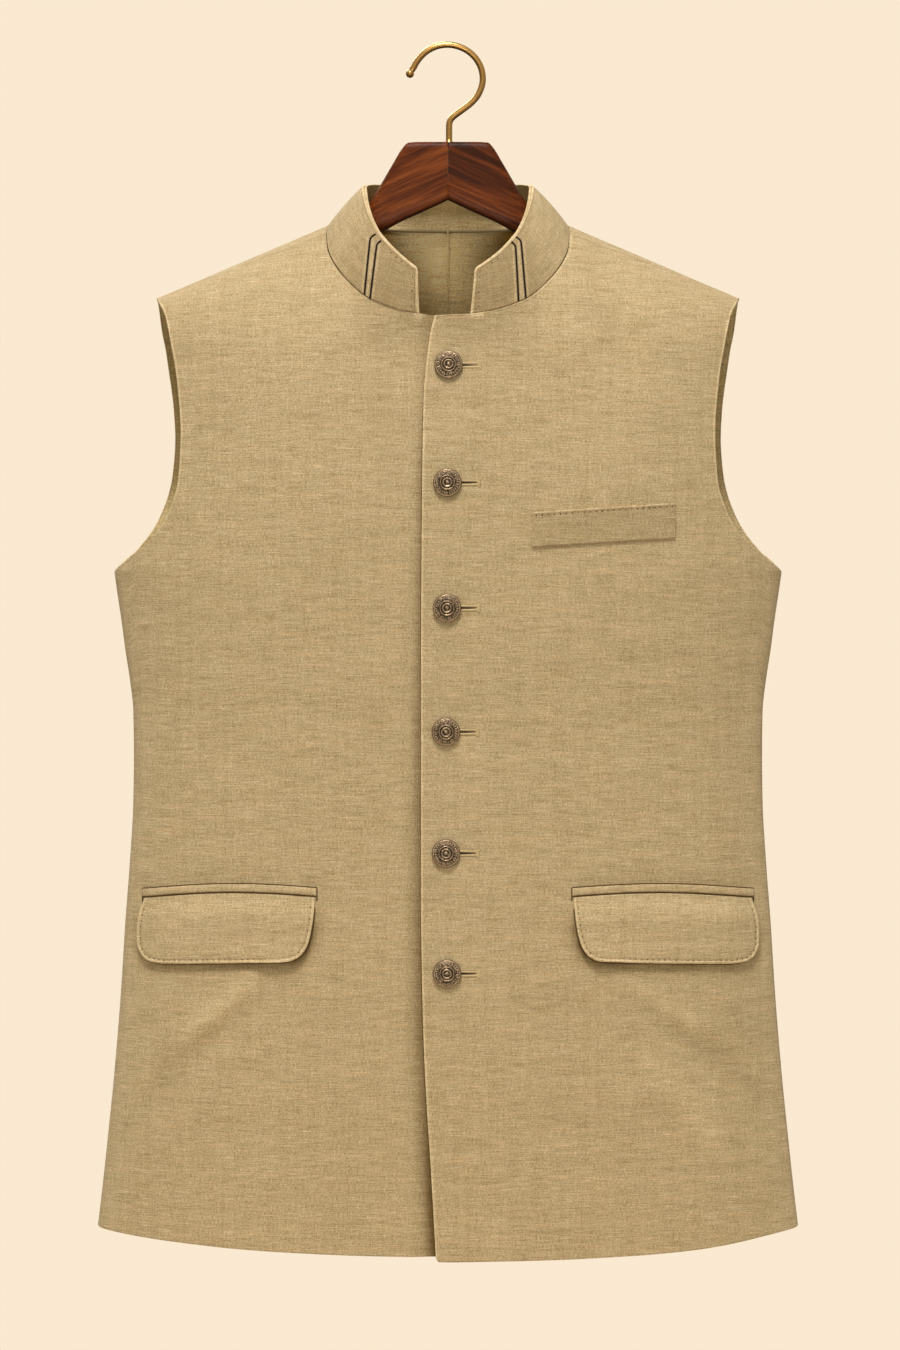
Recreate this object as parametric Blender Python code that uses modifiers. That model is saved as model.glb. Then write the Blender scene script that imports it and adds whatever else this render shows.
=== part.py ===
"""Sleeveless nehru jacket with a stand collar, hung on a wooden hanger with a brass hook."""

import math

import bmesh
import bpy
import numpy as np
from mathutils import Matrix, Vector

MM = 0.001

# Driving dimensions, in millimetres. The origin is under the crown of the hook, where a rail holds it.
# X runs to the wearer's left, the front faces -Y, and Z is up.
CLOTH = 2.0  # wall of the fronts and backs
COLLAR_LAYER = 1.5
FLAP_WALL = 1.8
WELT_WALL = 1.5
GAP = 0.3  # between pieces that touch
RIDGE_NECK_X = 96.9
RIDGE_NECK_Z = -135.0
RIDGE_SLOPE = -0.4225
NECK_ROUND = 100.0  # how far below the ridge the front reaches its full depth, at the neck
TIP_ROUND = 40.0  # the same at the shoulder tip
SHOULDER_TIP_X = 215.3
UNDERARM = (246.9, -386.7)
SECTION_POWER = 2.6
UNDER_EDGE_X = 15.0
UNDER_STEP = 2.7
UPPER_DROP = 3.5  # the upper front's hem hangs this much lower
COLUMNS = 14
STEP_COLUMNS = (1.0, 5.0, 9.0, 13.0)  # behind the upper edge, where the lower front steps in
BUTTON_RADIUS = 10.35
BUTTON_HEIGHT = 4.6
HOOK_WIRE = 4.6
HOOK_RADIUS = 25.9

# Half width of the side seam by height.
SIDE = {
    "z": (-386.7, -401, -423, -445, -467, -490, -523, -556, -600, -645, -700, -756, -800, -845, -872),
    "x": (246.9, 244.9, 241.6, 238.7, 235.3, 232.8, 232.4, 232.8, 235.3, 238.7, 242.2, 246.8, 251.2, 256, 259.2),
}
# Depth of the fronts and of the back on the centre line, by height.
DEPTH = {
    "z": (-90, -203, -270, -350, -450, -530, -620, -700, -890),
    "front": (52, 55, 60.5, 63, 60.5, 57.5, 58, 60, 60),
    "back": (48, 54, 59, 60, 54, 48, 50, 52.5, 53),
}
# Width at which the body's section would close, above the underarm.
REACH = {
    "z": (-180, -240, -300, -350, -375, -386.7),
    "x": (246, 241, 240, 241.5, 244.5, 246.9),
}
FRONT_ARMHOLE = {
    "x": (207.8, 202.2, 198.7, 195.6, 197.5, 200.7, 206.1, 213.6, 224.2, 235.2, 242.4),
    "z": (-200.4, -226.6, -247.6, -284.6, -321.1, -334.1, -348, -359.9, -369.8, -378.5, -382.9),
}
BACK_ARMHOLE = {
    "x": (213.9, 211.3, 209.2, 207.1, 205.5, 204.5, 206, 208.6, 213.6, 221.1, 232.5, 240.6),
    "z": (-206.4, -220.9, -235.7, -250.6, -265.5, -288.2, -310.3, -325.3, -340.4, -355.5, -370.6, -378.2),
}
# Hem height by distance from the centre, and the edge of the upper front by height.
HEM = {
    "x": (0, 65, 127, 160, 189, 212, 230, 245, 260),
    "z": (-886.3, -885.2, -882.8, -880.9, -878.4, -876.3, -874.3, -872.6, -870.8),
}
TOP_EDGE = {
    "z": (-203.2, -212, -227, -245, -263, -334, -480, -625, -700, -740, -780, -830, -889.8),
    "x": (-9.8, -12.3, -14.5, -16.7, -17.8, -18.9, -19.7, -19.7, -18.6, -17.4, -15.4, -12.2, -8.9),
}
# The stand collar from its front end round to the centre back: lower edge, then upper edge.
COLLAR = {
    "low": (
        (19.4, -55.0, -201.0), (37.5, -53.5, -197.5), (54.4, -50.0, -190.8), (63.0, -47.0, -185.6),
        (72.0, -42.0, -177.0), (80.9, -33.5, -166.2), (88.0, -21.5, -152.3), (90.0, -9.0, -138.0),
        (88.5, 0.5, -130.8), (81.0, 18.0, -129.2), (64.0, 34.5, -129.4), (34.0, 45.0, -130.8),
        (0.0, 48.0, -131.2),
    ),
    "high": (
        (22.3, -48.5, -168.2), (30.0, -45.5, -162.0), (38.2, -41.0, -154.5), (46.4, -35.5, -145.6),
        (51.6, -30.0, -138.5), (58.0, -22.0, -124.8), (61.7, -12.0, -112.0), (63.0, 0.0, -104.0),
        (63.0, 9.0, -100.4), (58.5, 22.0, -98.6), (46.0, 33.5, -98.0), (25.0, 42.0, -96.8),
        (0.0, 45.0, -96.4),
    ),
}
COLLAR_END_SHIFT = 2.3  # the collar's ends sit this far to the wearer's right of the centre
NECK_STATION = 7
RIDGE_STATION = 8

FLAP_TOP_Z = -623.5
FLAP = {
    "drop": (0, 12, 24, 35.5, 43.5, 47, 49.6),
    "inner": (96.4, 97.2, 98.6, 101.0, 105.4, 110.2, 119.0),
    "outer": (220.8, 224.4, 225.6, 225.2, 222.4, 218.8, 211.5),
}
FLAP_SHIFT = {-1: 0.0, 1: -5.2}  # the inner end of the flap on each side
JET = {"inner": 95.4, "outer": 222.2, "rise": 7.3, "sag": 3.2}
WELT = {"inner": 61.6, "outer": 165.4, "top": (-345.6, -338.4), "bottom": (-371.0, -364.0)}
BUTTON_Z = (-238.6, -324.2, -415.0, -504.9, -593.0, -680.3)
BUTTON_X = (0.4, -0.4, -0.7, -1.4, -1.4, -0.7)

# The hanger arm from the middle outwards.
ARM = {
    "x": (0.15, 20, 29.5, 33, 41, 49, 59, 74, 88, 104, 122, 150, 180, 200, 207),
    "top": (-69.9, -69.9, -70.4, -73.6, -86.5, -99.8, -115.4, -131, -140, -145.4, -150, -162, -174.8, -184.8, -190),
    "bottom": (-112.6, -121.8, -126, -127.6, -131.4, -135.2, -139.8, -147.5, -158, -166.5, -175, -187, -199, -205, -203),
    "half": (11.5, 11.5, 11.5, 11.5, 11.3, 11, 10, 10, 10.2, 13, 16.2, 19.4, 20.5, 19, 12),
    "power": (9, 9, 9, 8, 6.5, 3.8, 2.3, 2.2, 2.2, 2.1, 2.0, 2.0, 2.0, 2.0, 2.0),
}
# Long soft folds: start, end, half width and height outwards; the first two lie on the fronts.
FOLDS = {
    "front": (
        ((-150, -690), (-222, -757), 15, 3.2),
        ((136, -690), (188, -756), 14, -3.0),
        ((150, -672), (222, -742), 15, 2.6),
    ),
    "back": (
        ((-120, -700), (-205, -770), 18, 3.0),
        ((120, -700), (205, -770), 18, 3.0),
        ((-60, -470), (-170, -540), 20, -2.0),
        ((60, -470), (170, -540), 20, -2.0),
    ),
}


def smooth_through(keys, values, at):
    """A smooth curve through the table's points, without overshoot."""
    keys = np.asarray(keys, float)
    values = np.asarray(values, float)
    if keys[0] > keys[-1]:
        keys, values = keys[::-1], values[::-1]
    step = np.diff(keys)
    slope = np.diff(values) / step
    tangent = np.empty(len(keys))
    tangent[0], tangent[-1] = slope[0], slope[-1]
    for i in range(1, len(keys) - 1):
        if slope[i - 1] * slope[i] <= 0:
            tangent[i] = 0
        else:
            tangent[i] = 2 * slope[i - 1] * slope[i] / (slope[i - 1] + slope[i])
    at = np.clip(np.asarray(at, float), keys[0], keys[-1])
    i = np.clip(np.searchsorted(keys, at, side="right") - 1, 0, len(step) - 1)
    t = (at - keys[i]) / step[i]
    return (
        values[i] * (1 + 2 * t) * (1 - t) ** 2
        + tangent[i] * step[i] * t * (1 - t) ** 2
        + values[i + 1] * t * t * (3 - 2 * t)
        + tangent[i + 1] * step[i] * t * t * (t - 1)
    )


def even(t):
    return t


def closer_at_ends(t):
    return 0.58 * smoothstep(t) + 0.42 * t


def along(points, count, spread=even):
    """Points spread along a Catmull-Rom curve through the given ones, by arc length."""
    points = np.asarray(points, float)
    padded = np.vstack([2 * points[0] - points[1], points, 2 * points[-1] - points[-2]])
    fine = []
    for i in range(len(points) - 1):
        a, b, c, d = padded[i : i + 4]
        for t in np.linspace(0, 1, 16, endpoint=False):
            fine.append(
                0.5 * (2 * b + (c - a) * t + (2 * a - 5 * b + 4 * c - d) * t**2 + (3 * b - a - 3 * c + d) * t**3)
            )
    fine.append(points[-1])
    fine = np.array(fine)
    length = np.concatenate([[0], np.cumsum(np.linalg.norm(np.diff(fine, axis=0), axis=1))])
    at = spread(np.linspace(0, 1, count)) * length[-1]
    return np.column_stack([np.interp(at, length, fine[:, k]) for k in range(points.shape[1])])


def smoothstep(t):
    t = np.clip(t, 0, 1)
    return t * t * (3 - 2 * t)


def folds(side, x, z):
    """How far the long soft folds move the cloth outwards."""
    total = np.zeros(np.broadcast(x, z).shape)
    for start, end, width, height in FOLDS[side]:
        start, end = np.array(start, float), np.array(end, float)
        run = end - start
        t = ((x - start[0]) * run[0] + (z - start[1]) * run[1]) / (run @ run)
        near = np.clip(t, 0, 1)
        away = np.hypot(x - start[0] - near * run[0], z - start[1] - near * run[1])
        fade = smoothstep((t + 0.25) / 0.5) * smoothstep((1.25 - t) / 0.5)
        total = total + height * fade * np.exp(-((away / width) ** 2))
    return total


def ridge_z(x):
    """Height of the shoulder's highest line."""
    return RIDGE_NECK_Z + RIDGE_SLOPE * (np.abs(x) - RIDGE_NECK_X)


def half_width(z):
    above = smooth_through(REACH["z"], REACH["x"], z)
    below = smooth_through(SIDE["z"], SIDE["x"], z)
    return np.where(np.asarray(z) > UNDERARM[1], above, below)


def body_y(side, x, z):
    """Depth of the outer face of the cloth at a point of the front view."""
    depth = smooth_through(DEPTH["z"], DEPTH[side], z)
    share = np.clip(1 - (np.abs(x) / half_width(z)) ** SECTION_POWER, 0, 1)
    out = np.clip((np.abs(x) - 90) / (SHOULDER_TIP_X - 90), 0, 1)
    reach = NECK_ROUND + (TIP_ROUND - NECK_ROUND) * out
    power = 0.7 - 0.2 * out
    fall = np.clip((ridge_z(x) - z) / reach, 0, 1)
    cap = (1 - (1 - fall) ** 2) ** power
    edge = smoothstep((half_width(z) - np.abs(x)) / 25)
    y = depth * np.sqrt(share) * cap + folds(side, x, z) * edge
    return -y if side == "front" else y


def top_edge_x(z):
    return smooth_through(TOP_EDGE["z"], TOP_EDGE["x"], z)


def hem_z(x, upper):
    """Height of the hem; the upper front hangs a little lower at its edge."""
    z = smooth_through(HEM["x"], HEM["z"], np.abs(x))
    return z - UPPER_DROP * smoothstep((255 - np.abs(x)) / 75) if upper else z


def column_shares(count):
    return np.sin(np.pi / 2 * np.linspace(0, 1, count + 1))


def grid_normals(grid):
    """Unit normals of a grid of points, from its rows and columns."""
    along_rows = np.gradient(grid, axis=0)
    along_columns = np.gradient(grid, axis=1)
    normal = np.cross(along_rows, along_columns)
    size = np.linalg.norm(normal, axis=2, keepdims=True)
    return normal / np.maximum(size, 1e-9)


def shell_mesh(name, outer, inner):
    """A closed wall between two grids of points with the same rows and columns."""
    rows, columns = outer.shape[:2]
    mesh = bmesh.new()
    points = [
        [[mesh.verts.new(Vector(face[r, c]) * MM) for c in range(columns)] for r in range(rows)]
        for face in (outer, inner)
    ]
    for layer in points:
        for r in range(rows - 1):
            for c in range(columns - 1):
                mesh.faces.new((layer[r][c], layer[r + 1][c], layer[r + 1][c + 1], layer[r][c + 1]))
    rim = [(0, c) for c in range(columns)]
    rim += [(r, columns - 1) for r in range(1, rows)]
    rim += [(rows - 1, c) for c in range(columns - 2, -1, -1)]
    rim += [(r, 0) for r in range(rows - 2, 0, -1)]
    for (r, c), (nr, nc) in zip(rim, rim[1:] + rim[:1]):
        mesh.faces.new((points[0][r][c], points[0][nr][nc], points[1][nr][nc], points[1][r][c]))
    bmesh.ops.recalc_face_normals(mesh, faces=mesh.faces)
    data = bpy.data.meshes.new(name)
    mesh.to_mesh(data)
    mesh.free()
    return data


def add_object(name, data, material):
    thing = bpy.data.objects.new(name, data)
    jacket.objects.link(thing)
    data.materials.append(material)
    if hasattr(data, "polygons"):
        data.shade_smooth()
        data.set_sharp_from_angle(angle=math.radians(40))
    return thing


def collar_edge(which, sign):
    """One edge of the collar on one side, from its front end to the centre back."""
    points = np.array(COLLAR[which], float)
    points[:, 0] *= sign
    points[0, 0] -= COLLAR_END_SHIFT
    points[1, 0] -= COLLAR_END_SHIFT * 0.4
    return points


def panel_rows(side, sign, upper):
    """The inner and outer ends of each row of a panel, and the depth that its inner end is drawn to."""
    low = collar_edge("low", sign)
    tip = np.array((sign * SHOULDER_TIP_X, ridge_z(SHOULDER_TIP_X) - 1.0))
    if side == "front":
        neck = along(low[: NECK_STATION + 1][::-1], 8)
        edge_x = None
        if sign < 0:
            edge_x = UNDER_EDGE_X
            under = (TOP_EDGE["x"][0] - 1, 0.0, -202.0)
            neck = np.vstack([neck, (under[0], body_y("front", under[0], under[2]), under[2])])
        armhole = np.column_stack([sign * np.array(FRONT_ARMHOLE["x"]), FRONT_ARMHOLE["z"]])
        edge_z = np.concatenate([
            np.linspace(-203.2, -400, 9),
            np.linspace(-400, HEM["z"][0] - (UPPER_DROP if upper else 0), 12)[1:],
        ])
        edge = np.array([(edge_x if edge_x else float(top_edge_x(z)), z) for z in edge_z])
        start = [tip]
    else:
        neck = np.vstack([
            low[NECK_STATION],
            (low[NECK_STATION] + low[RIDGE_STATION]) / 2,
            low[RIDGE_STATION],
            along(low[RIDGE_STATION:], 6)[1:],
        ])
        armhole = np.column_stack([sign * np.array(BACK_ARMHOLE["x"]), BACK_ARMHOLE["z"]])
        edge_z = np.concatenate([np.linspace(-131.2, -395, 11)[1:], np.linspace(-395, HEM["z"][0], 12)[1:]])
        edge = np.array([(sign * GAP / 2, z) for z in edge_z])
        neck[-1, 0] = sign * GAP / 2
        ridge_tip = np.array((sign * (SHOULDER_TIP_X + 0.4), ridge_z(SHOULDER_TIP_X + 0.4)))
        start = [tip, (tip + ridge_tip) / 2 + (0, 0.2), ridge_tip]
    inner = np.vstack([neck[:, [0, 2]], edge])
    to_ring = [float(point[1] - surface_y(side, row, point[0], point[2])) for row, point in enumerate(neck)]
    drawn = np.concatenate([to_ring, np.zeros(len(edge))])
    hole_path = np.vstack([start[-1], armhole, (sign * UNDERARM[0], UNDERARM[1])])
    hole_rows = len(inner) - 11 - len(start)
    hole = along(hole_path, hole_rows + 1, closer_at_ends)[1:]
    side_z = np.linspace(UNDERARM[1], HEM["z"][-1], 12)[1:]
    seam = np.column_stack([sign * half_width(side_z), side_z])
    outer = np.vstack([start, hole, seam])
    return inner, outer, drawn


def surface_y(side, row, x, z):
    """Depth of a panel's point: the back's first rows lie before the ridge, on the front's form."""
    if side == "back" and row < 2:
        return body_y("front", x, z)
    if side == "back" and row == 2:
        return 0.0 * x
    return body_y(side, x, z)


def under_shares(inner, outer, steps):
    """Column shares of a row of the lower front, with columns where it steps in under the upper edge."""
    width = abs(outer[0] - inner[0])
    edge = max(2.0, inner[0] - float(top_edge_x(inner[1])))
    first = np.array([0.0, edge / 2] + [edge + step for step in steps[:-1]]) / width
    last = (edge + steps[-1]) / width
    return np.concatenate([first, last + (1 - last) * column_shares(COLUMNS - 2)])


def panel_grid(side, sign, upper=False):
    inner, outer, drawn = panel_rows(side, sign, upper)
    steps = STEP_COLUMNS if side == "front" and sign < 0 else ()
    shares = column_shares(COLUMNS)
    if steps:
        shares = under_shares(inner[-1], outer[-1], steps)
    grid = np.zeros((len(inner), len(shares), 3))
    last = len(inner) - 12
    for row in range(len(inner)):
        if steps:
            shares = under_shares(inner[row], outer[row], steps)
        x = inner[row, 0] + (outer[row, 0] - inner[row, 0]) * shares
        z = inner[row, 1] + (outer[row, 1] - inner[row, 1]) * shares
        if row > last:
            low = np.clip((row - last) / 11, 0, 1) ** 1.5
            end_z = hem_z(x, upper)
            line = inner[-1, 1] + (outer[-1, 1] - inner[-1, 1]) * shares
            z = z + low * (end_z - line)
        y = surface_y(side, row, x, z) + drawn[row] * (1 - shares) ** 3
        if side == "front" and sign < 0:
            y = y + UNDER_STEP * smoothstep((x - top_edge_x(z) + 13) / 12)
        grid[row] = np.column_stack([x, y, z])
    return grid, last


def panel(name, side, sign, material, upper=False):
    grid, last = panel_grid(side, sign, upper)
    normal = grid_normals(grid)
    outward = -1 if side == "front" else 1
    middle = normal[len(normal) // 2, 3]
    if middle[1] * outward < 0:
        normal = -normal
    normal[last:, -1] = (sign, 0, 0)
    run = grid[0, -1] - grid[0, 0]
    run = run / np.linalg.norm(run)
    seam_up = np.array((0.0, 0.0, 1.0)) - run * run[2]
    seam_up = seam_up / np.linalg.norm(seam_up)
    normal[0, :] = seam_up
    if side == "back":
        normal[:, 0, 0] = np.where(np.arange(len(grid)) >= 7, 0, normal[:, 0, 0])
        normal[:, 0] /= np.linalg.norm(normal[:, 0], axis=1, keepdims=True)
    across = np.cross(run, seam_up)
    across = across * (outward * np.sign(across[1]))
    grid[0] += across * GAP / 2
    grid[last:, -1, 1] = outward * GAP / 2
    add_object(name, shell_mesh(name, grid, grid - CLOTH * normal), material)
    return grid


def collar_grid(rows=4, columns=34):
    """Both sides of the collar as one band, from the wearer's right end to the left one."""
    bands = {}
    for which in ("low", "high"):
        right, left = collar_edge(which, -1), collar_edge(which, 1)
        bands[which] = along(np.vstack([right, left[::-1][1:]]), columns + 1)
    up = bands["high"] - bands["low"]
    grid = np.zeros((rows + 1, columns + 1, 3))
    for row in range(rows + 1):
        t = row / rows
        grid[row] = bands["low"] + up * t
    normal = grid_normals(grid)
    middle = np.array((0.0, -4.0, -135.0))
    facing = np.einsum("rck,rck->rc", normal[:, :, :2], (grid - middle)[:, :, :2])
    if facing.mean() < 0:
        normal = -normal
    bulge = np.sin(np.pi * np.linspace(0, 1, rows + 1))[:, None, None] * 1.2
    grid = grid + normal * bulge
    length = np.linalg.norm(up, axis=1)[None, :, None]
    grid = grid + (up[None] / length) * GAP * 2.5
    return grid, normal


def on_collar(grid, normal, x, z, lift):
    """The collar's point seen at x and z from the front, moved out from its face."""
    best = None
    half = grid[:, : grid.shape[1] // 2 + 1] if x < 0 else grid[:, grid.shape[1] // 2 :]
    face = normal[:, : grid.shape[1] // 2 + 1] if x < 0 else normal[:, grid.shape[1] // 2 :]
    for r in range(half.shape[0] - 1):
        for c in range(half.shape[1] - 1):
            for u in np.linspace(0, 1, 9):
                for v in np.linspace(0, 1, 9):
                    weight = ((1 - u) * (1 - v), (1 - u) * v, u * (1 - v), u * v)
                    cells = ((r, c), (r, c + 1), (r + 1, c), (r + 1, c + 1))
                    point = sum(w * half[cell] for w, cell in zip(weight, cells))
                    away = math.hypot(point[0] - x, point[2] - z)
                    if point[1] < 5 and (best is None or away < best[0]):
                        out = sum(w * face[cell] for w, cell in zip(weight, cells))
                        best = (away, point + out / np.linalg.norm(out) * lift)
    return best[1]


def surface_patch(name, side_sign, corners, rows, columns, lift, wall, material, raise_low=0.0):
    """A piece lying on a front: its outline rows taken on the front's face and moved out."""
    grid = np.zeros((rows + 1, columns + 1, 3))
    for r in range(rows + 1):
        inner, outer, height = corners(r / rows)
        share = np.linspace(0, 1, columns + 1)
        x = side_sign * (inner + (outer - inner) * share)
        z = height(share)
        y = body_y("front", x, z)
        dx = (body_y("front", x + 0.5, z) - body_y("front", x - 0.5, z))
        dz = (body_y("front", x, z + 0.5) - body_y("front", x, z - 0.5))
        out = np.column_stack([dx, -np.ones_like(dx), dz])
        out /= np.linalg.norm(out, axis=1, keepdims=True)
        grid[r] = np.column_stack([x, y, z]) + out * (lift + raise_low * (r / rows) ** 2)
    mesh = bmesh.new()
    points = [[mesh.verts.new(Vector(p) * MM) for p in row] for row in grid]
    for r in range(rows):
        for c in range(columns):
            quad = (points[r][c], points[r + 1][c], points[r + 1][c + 1], points[r][c + 1])
            mesh.faces.new(quad if side_sign > 0 else quad[::-1])
    data = bpy.data.meshes.new(name)
    mesh.to_mesh(data)
    mesh.free()
    thing = add_object(name, data, material)
    wall_maker = thing.modifiers.new("wall", "SOLIDIFY")
    wall_maker.thickness = wall * MM
    wall_maker.offset = 1
    return thing


def tube(name, points, radius, material):
    """A round wire or cord through the points."""
    curve = bpy.data.curves.new(name, "CURVE")
    curve.dimensions = "3D"
    curve.bevel_depth = radius * MM
    curve.bevel_resolution = 2
    curve.use_fill_caps = True
    line = curve.splines.new("POLY")
    line.points.add(len(points) - 1)
    for knot, point in zip(line.points, points):
        knot.co = (*(Vector(point) * MM), 1)
    thing = bpy.data.objects.new(name, curve)
    jacket.objects.link(thing)
    curve.materials.append(material)
    return thing


def turned(name, profile, steps, material):
    """A turned piece: a profile of radius and height, spun round Z."""
    mesh = bmesh.new()
    points = [mesh.verts.new((radius * MM, 0, height * MM)) for radius, height in profile]
    for a, b in zip(points, points[1:]):
        mesh.edges.new((a, b))
    data = bpy.data.meshes.new(name)
    mesh.to_mesh(data)
    mesh.free()
    thing = bpy.data.objects.new(name, data)
    jacket.objects.link(thing)
    data.materials.append(material)
    spin = thing.modifiers.new("spin", "SCREW")
    spin.steps = steps
    spin.render_steps = steps
    spin.use_merge_vertices = True
    spin.merge_threshold = 0.00001
    return thing


def hanger_arm(name, sign, material):
    """One half of the hanger: a loft of rounded sections from the mitre to the end."""
    around = 18
    stations = along_arm = np.array(ARM["x"], float)
    mesh = bmesh.new()
    rings = []
    for i, x in enumerate(along_arm):
        top, bottom, half, power = (ARM[k][i] for k in ("top", "bottom", "half", "power"))
        middle, rise = (top + bottom) / 2, (top - bottom) / 2
        ring = []
        for k in range(around):
            angle = 2 * math.pi * (k + 0.5) / around
            c, s = math.cos(angle), math.sin(angle)
            size = (abs(c) ** power + abs(s) ** power) ** (-1 / power)
            ring.append(mesh.verts.new(Vector((sign * x, half * c * size, middle + rise * s * size)) * MM))
        rings.append(ring)
    for a, b in zip(rings, rings[1:]):
        for k in range(around):
            n = (k + 1) % around
            mesh.faces.new((a[k], a[n], b[n], b[k]))
    mesh.faces.new(rings[0])
    mesh.faces.new(rings[-1])
    bmesh.ops.recalc_face_normals(mesh, faces=mesh.faces)
    data = bpy.data.meshes.new(name)
    mesh.to_mesh(data)
    mesh.free()
    return add_object(name, data, material)


def material_of(name, colour, roughness, metallic=0.0):
    material = bpy.data.materials.new(name)
    material.use_nodes = True
    shader = material.node_tree.nodes["Principled BSDF"]
    shader.inputs["Base Color"].default_value = (*colour, 1)
    shader.inputs["Roughness"].default_value = roughness
    shader.inputs["Metallic"].default_value = metallic
    return material


for thing in list(bpy.data.objects):
    bpy.data.objects.remove(thing)
jacket = bpy.data.collections.new("nehru_jacket_on_hanger")
bpy.context.scene.collection.children.link(jacket)

cloth = material_of("khaki_linen", (0.45, 0.33, 0.16), 0.9)
piping = material_of("dark_piping", (0.02, 0.015, 0.01), 0.8)
bronze = material_of("aged_bronze", (0.22, 0.14, 0.07), 0.45, 1.0)
wood = material_of("walnut", (0.14, 0.045, 0.018), 0.35)
brass = material_of("brass", (0.62, 0.43, 0.18), 0.3, 1.0)

# The four body panels.
panel("front_right", "front", -1, cloth)
panel("front_left", "front", 1, cloth, upper=True)
panel("back_right", "back", -1, cloth)
panel("back_left", "back", 1, cloth)

# The stand collar, in two layers.
collar, collar_out = collar_grid()
add_object("collar_outer", shell_mesh("collar_outer", collar, collar - COLLAR_LAYER * collar_out), cloth)
lining = collar - (COLLAR_LAYER + GAP) * collar_out
add_object("collar_inner", shell_mesh("collar_inner", lining, lining - COLLAR_LAYER * collar_out), cloth)

# Two piped lines on each side of the collar.
PIPING = {
    "right_outer": ((-60.4, -184.0), (-54.2, -141.8)),
    "right_inner": ((-56.4, -187.4), (-50.0, -144.8)),
    "left_inner": ((51.2, -188.8), (48.4, -148.0)),
    "left_outer": ((56.4, -186.2), (52.2, -145.0)),
}
for label, (low, high) in PIPING.items():
    ends = [
        on_collar(collar, collar_out, low[0] + (high[0] - low[0]) * t, low[1] + (high[1] - low[1]) * t, 0.95)
        for t in np.linspace(0.02, 0.98, 6)
    ]
    tube("piping_" + label, ends, 0.55, piping)

# The hip pockets: a jet strip and a flap on each front.
for sign, label in ((-1, "right"), (1, "left")):
    shift = FLAP_SHIFT[sign]

    def flap_row(t, shift=shift):
        drop = FLAP["drop"][-1] * t
        inner = float(smooth_through(FLAP["drop"], FLAP["inner"], drop)) + shift
        outer = float(smooth_through(FLAP["drop"], FLAP["outer"], drop))
        return inner, outer, lambda share: FLAP_TOP_Z + JET["sag"] * np.sin(np.pi * share) * (1 - t) - drop

    def jet_row(t, shift=shift):
        low = FLAP_TOP_Z + GAP + 0.2
        return (
            JET["inner"] + shift,
            JET["outer"],
            lambda share: low + JET["rise"] * (1 - t) * 0.86 + JET["sag"] * np.sin(np.pi * share),
        )

    surface_patch("flap_" + label, sign, flap_row, 8, 10, GAP, FLAP_WALL, cloth, raise_low=2.0)
    surface_patch("flap_jet_" + label, sign, jet_row, 1, 10, GAP, 1.4, cloth)


def welt_row(t):
    ends = [a + (b - a) * t for a, b in zip(WELT["top"], WELT["bottom"])]
    return WELT["inner"] - 1.2 * t, WELT["outer"], lambda share: ends[0] + (ends[1] - ends[0]) * share


surface_patch("chest_welt", 1, welt_row, 3, 8, GAP, WELT_WALL, cloth)

# Domed buttons down the front edge.
BUTTON_PROFILE = (
    (0, BUTTON_HEIGHT),
    (3.6, BUTTON_HEIGHT * 0.93),
    (7.0, BUTTON_HEIGHT * 0.72),
    (9.2, BUTTON_HEIGHT * 0.5),
    (BUTTON_RADIUS, BUTTON_HEIGHT * 0.3),
    (BUTTON_RADIUS * 0.93, 0),
    (0, 0),
)
for number, (x, z) in enumerate(zip(BUTTON_X, BUTTON_Z), 1):
    button = turned(f"button_{number}", BUTTON_PROFILE, 20, bronze)
    y = float(body_y("front", x, z))
    slope = float(body_y("front", x, z + 5) - body_y("front", x, z - 5)) / 10
    out = Vector((0, -1, slope)).normalized()
    place = Vector((x, y, z)) + out * (GAP + 0.3)
    button.matrix_world = Matrix.Translation(place * MM) @ out.to_track_quat("Z", "Y").to_matrix().to_4x4()

# The hanger, its ferrule and its hook.
hanger_arm("hanger_arm_right", -1, wood)
hanger_arm("hanger_arm_left", 1, wood)
ferrule = turned("hook_ferrule", ((0, 2.2), (2.5, 2.2), (2.8, 1.4), (3.2, 0), (0, 0)), 16, brass)
ferrule.location = (0.0008, 0, (ARM["top"][0] + GAP) * MM)
hook_centre_z = HOOK_WIRE / 2 - HOOK_RADIUS
sweep = [math.radians(a) for a in range(166, -79, -8)]
path = [(HOOK_RADIUS * math.cos(a), 0, hook_centre_z + HOOK_RADIUS * math.sin(a)) for a in sweep]
path += [(3.2, 0, -50.6), (1.6, 0, -53.0), (0.9, 0, -56.2), (0.8, 0, -60), (0.8, 0, ARM["top"][0] + 2.2 + 2 * GAP)]
hook_line = tube("hook_line", path, HOOK_WIRE / 2, brass)
bpy.context.view_layer.update()
graph = bpy.context.evaluated_depsgraph_get()
hook_data = bpy.data.meshes.new_from_object(hook_line.evaluated_get(graph))
welded = bmesh.new()
welded.from_mesh(hook_data)
bmesh.ops.remove_doubles(welded, verts=welded.verts, dist=0.00001)
welded.to_mesh(hook_data)
welded.free()
bpy.data.objects.remove(hook_line)
hook = add_object("hook", hook_data, brass)
cutters = bpy.data.collections.new("cutters")
bpy.context.scene.collection.children.link(cutters)
bpy.ops.mesh.primitive_uv_sphere_add(
    segments=16, ring_count=10, radius=3.2 * MM, location=(path[0][0] * MM - 0.0008, 0, path[0][2] * MM - 0.0015)
)
ball = bpy.context.object
ball.name = "hook_ball"
for owner in list(ball.users_collection):
    owner.objects.unlink(ball)
cutters.objects.link(ball)
ball.hide_render = True
ball.display_type = "WIRE"
join = hook.modifiers.new("ball", "BOOLEAN")
join.operation = "UNION"
join.object = ball
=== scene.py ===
import math

import bmesh
import bpy
import numpy as np
from mathutils import Matrix, Vector


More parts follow.
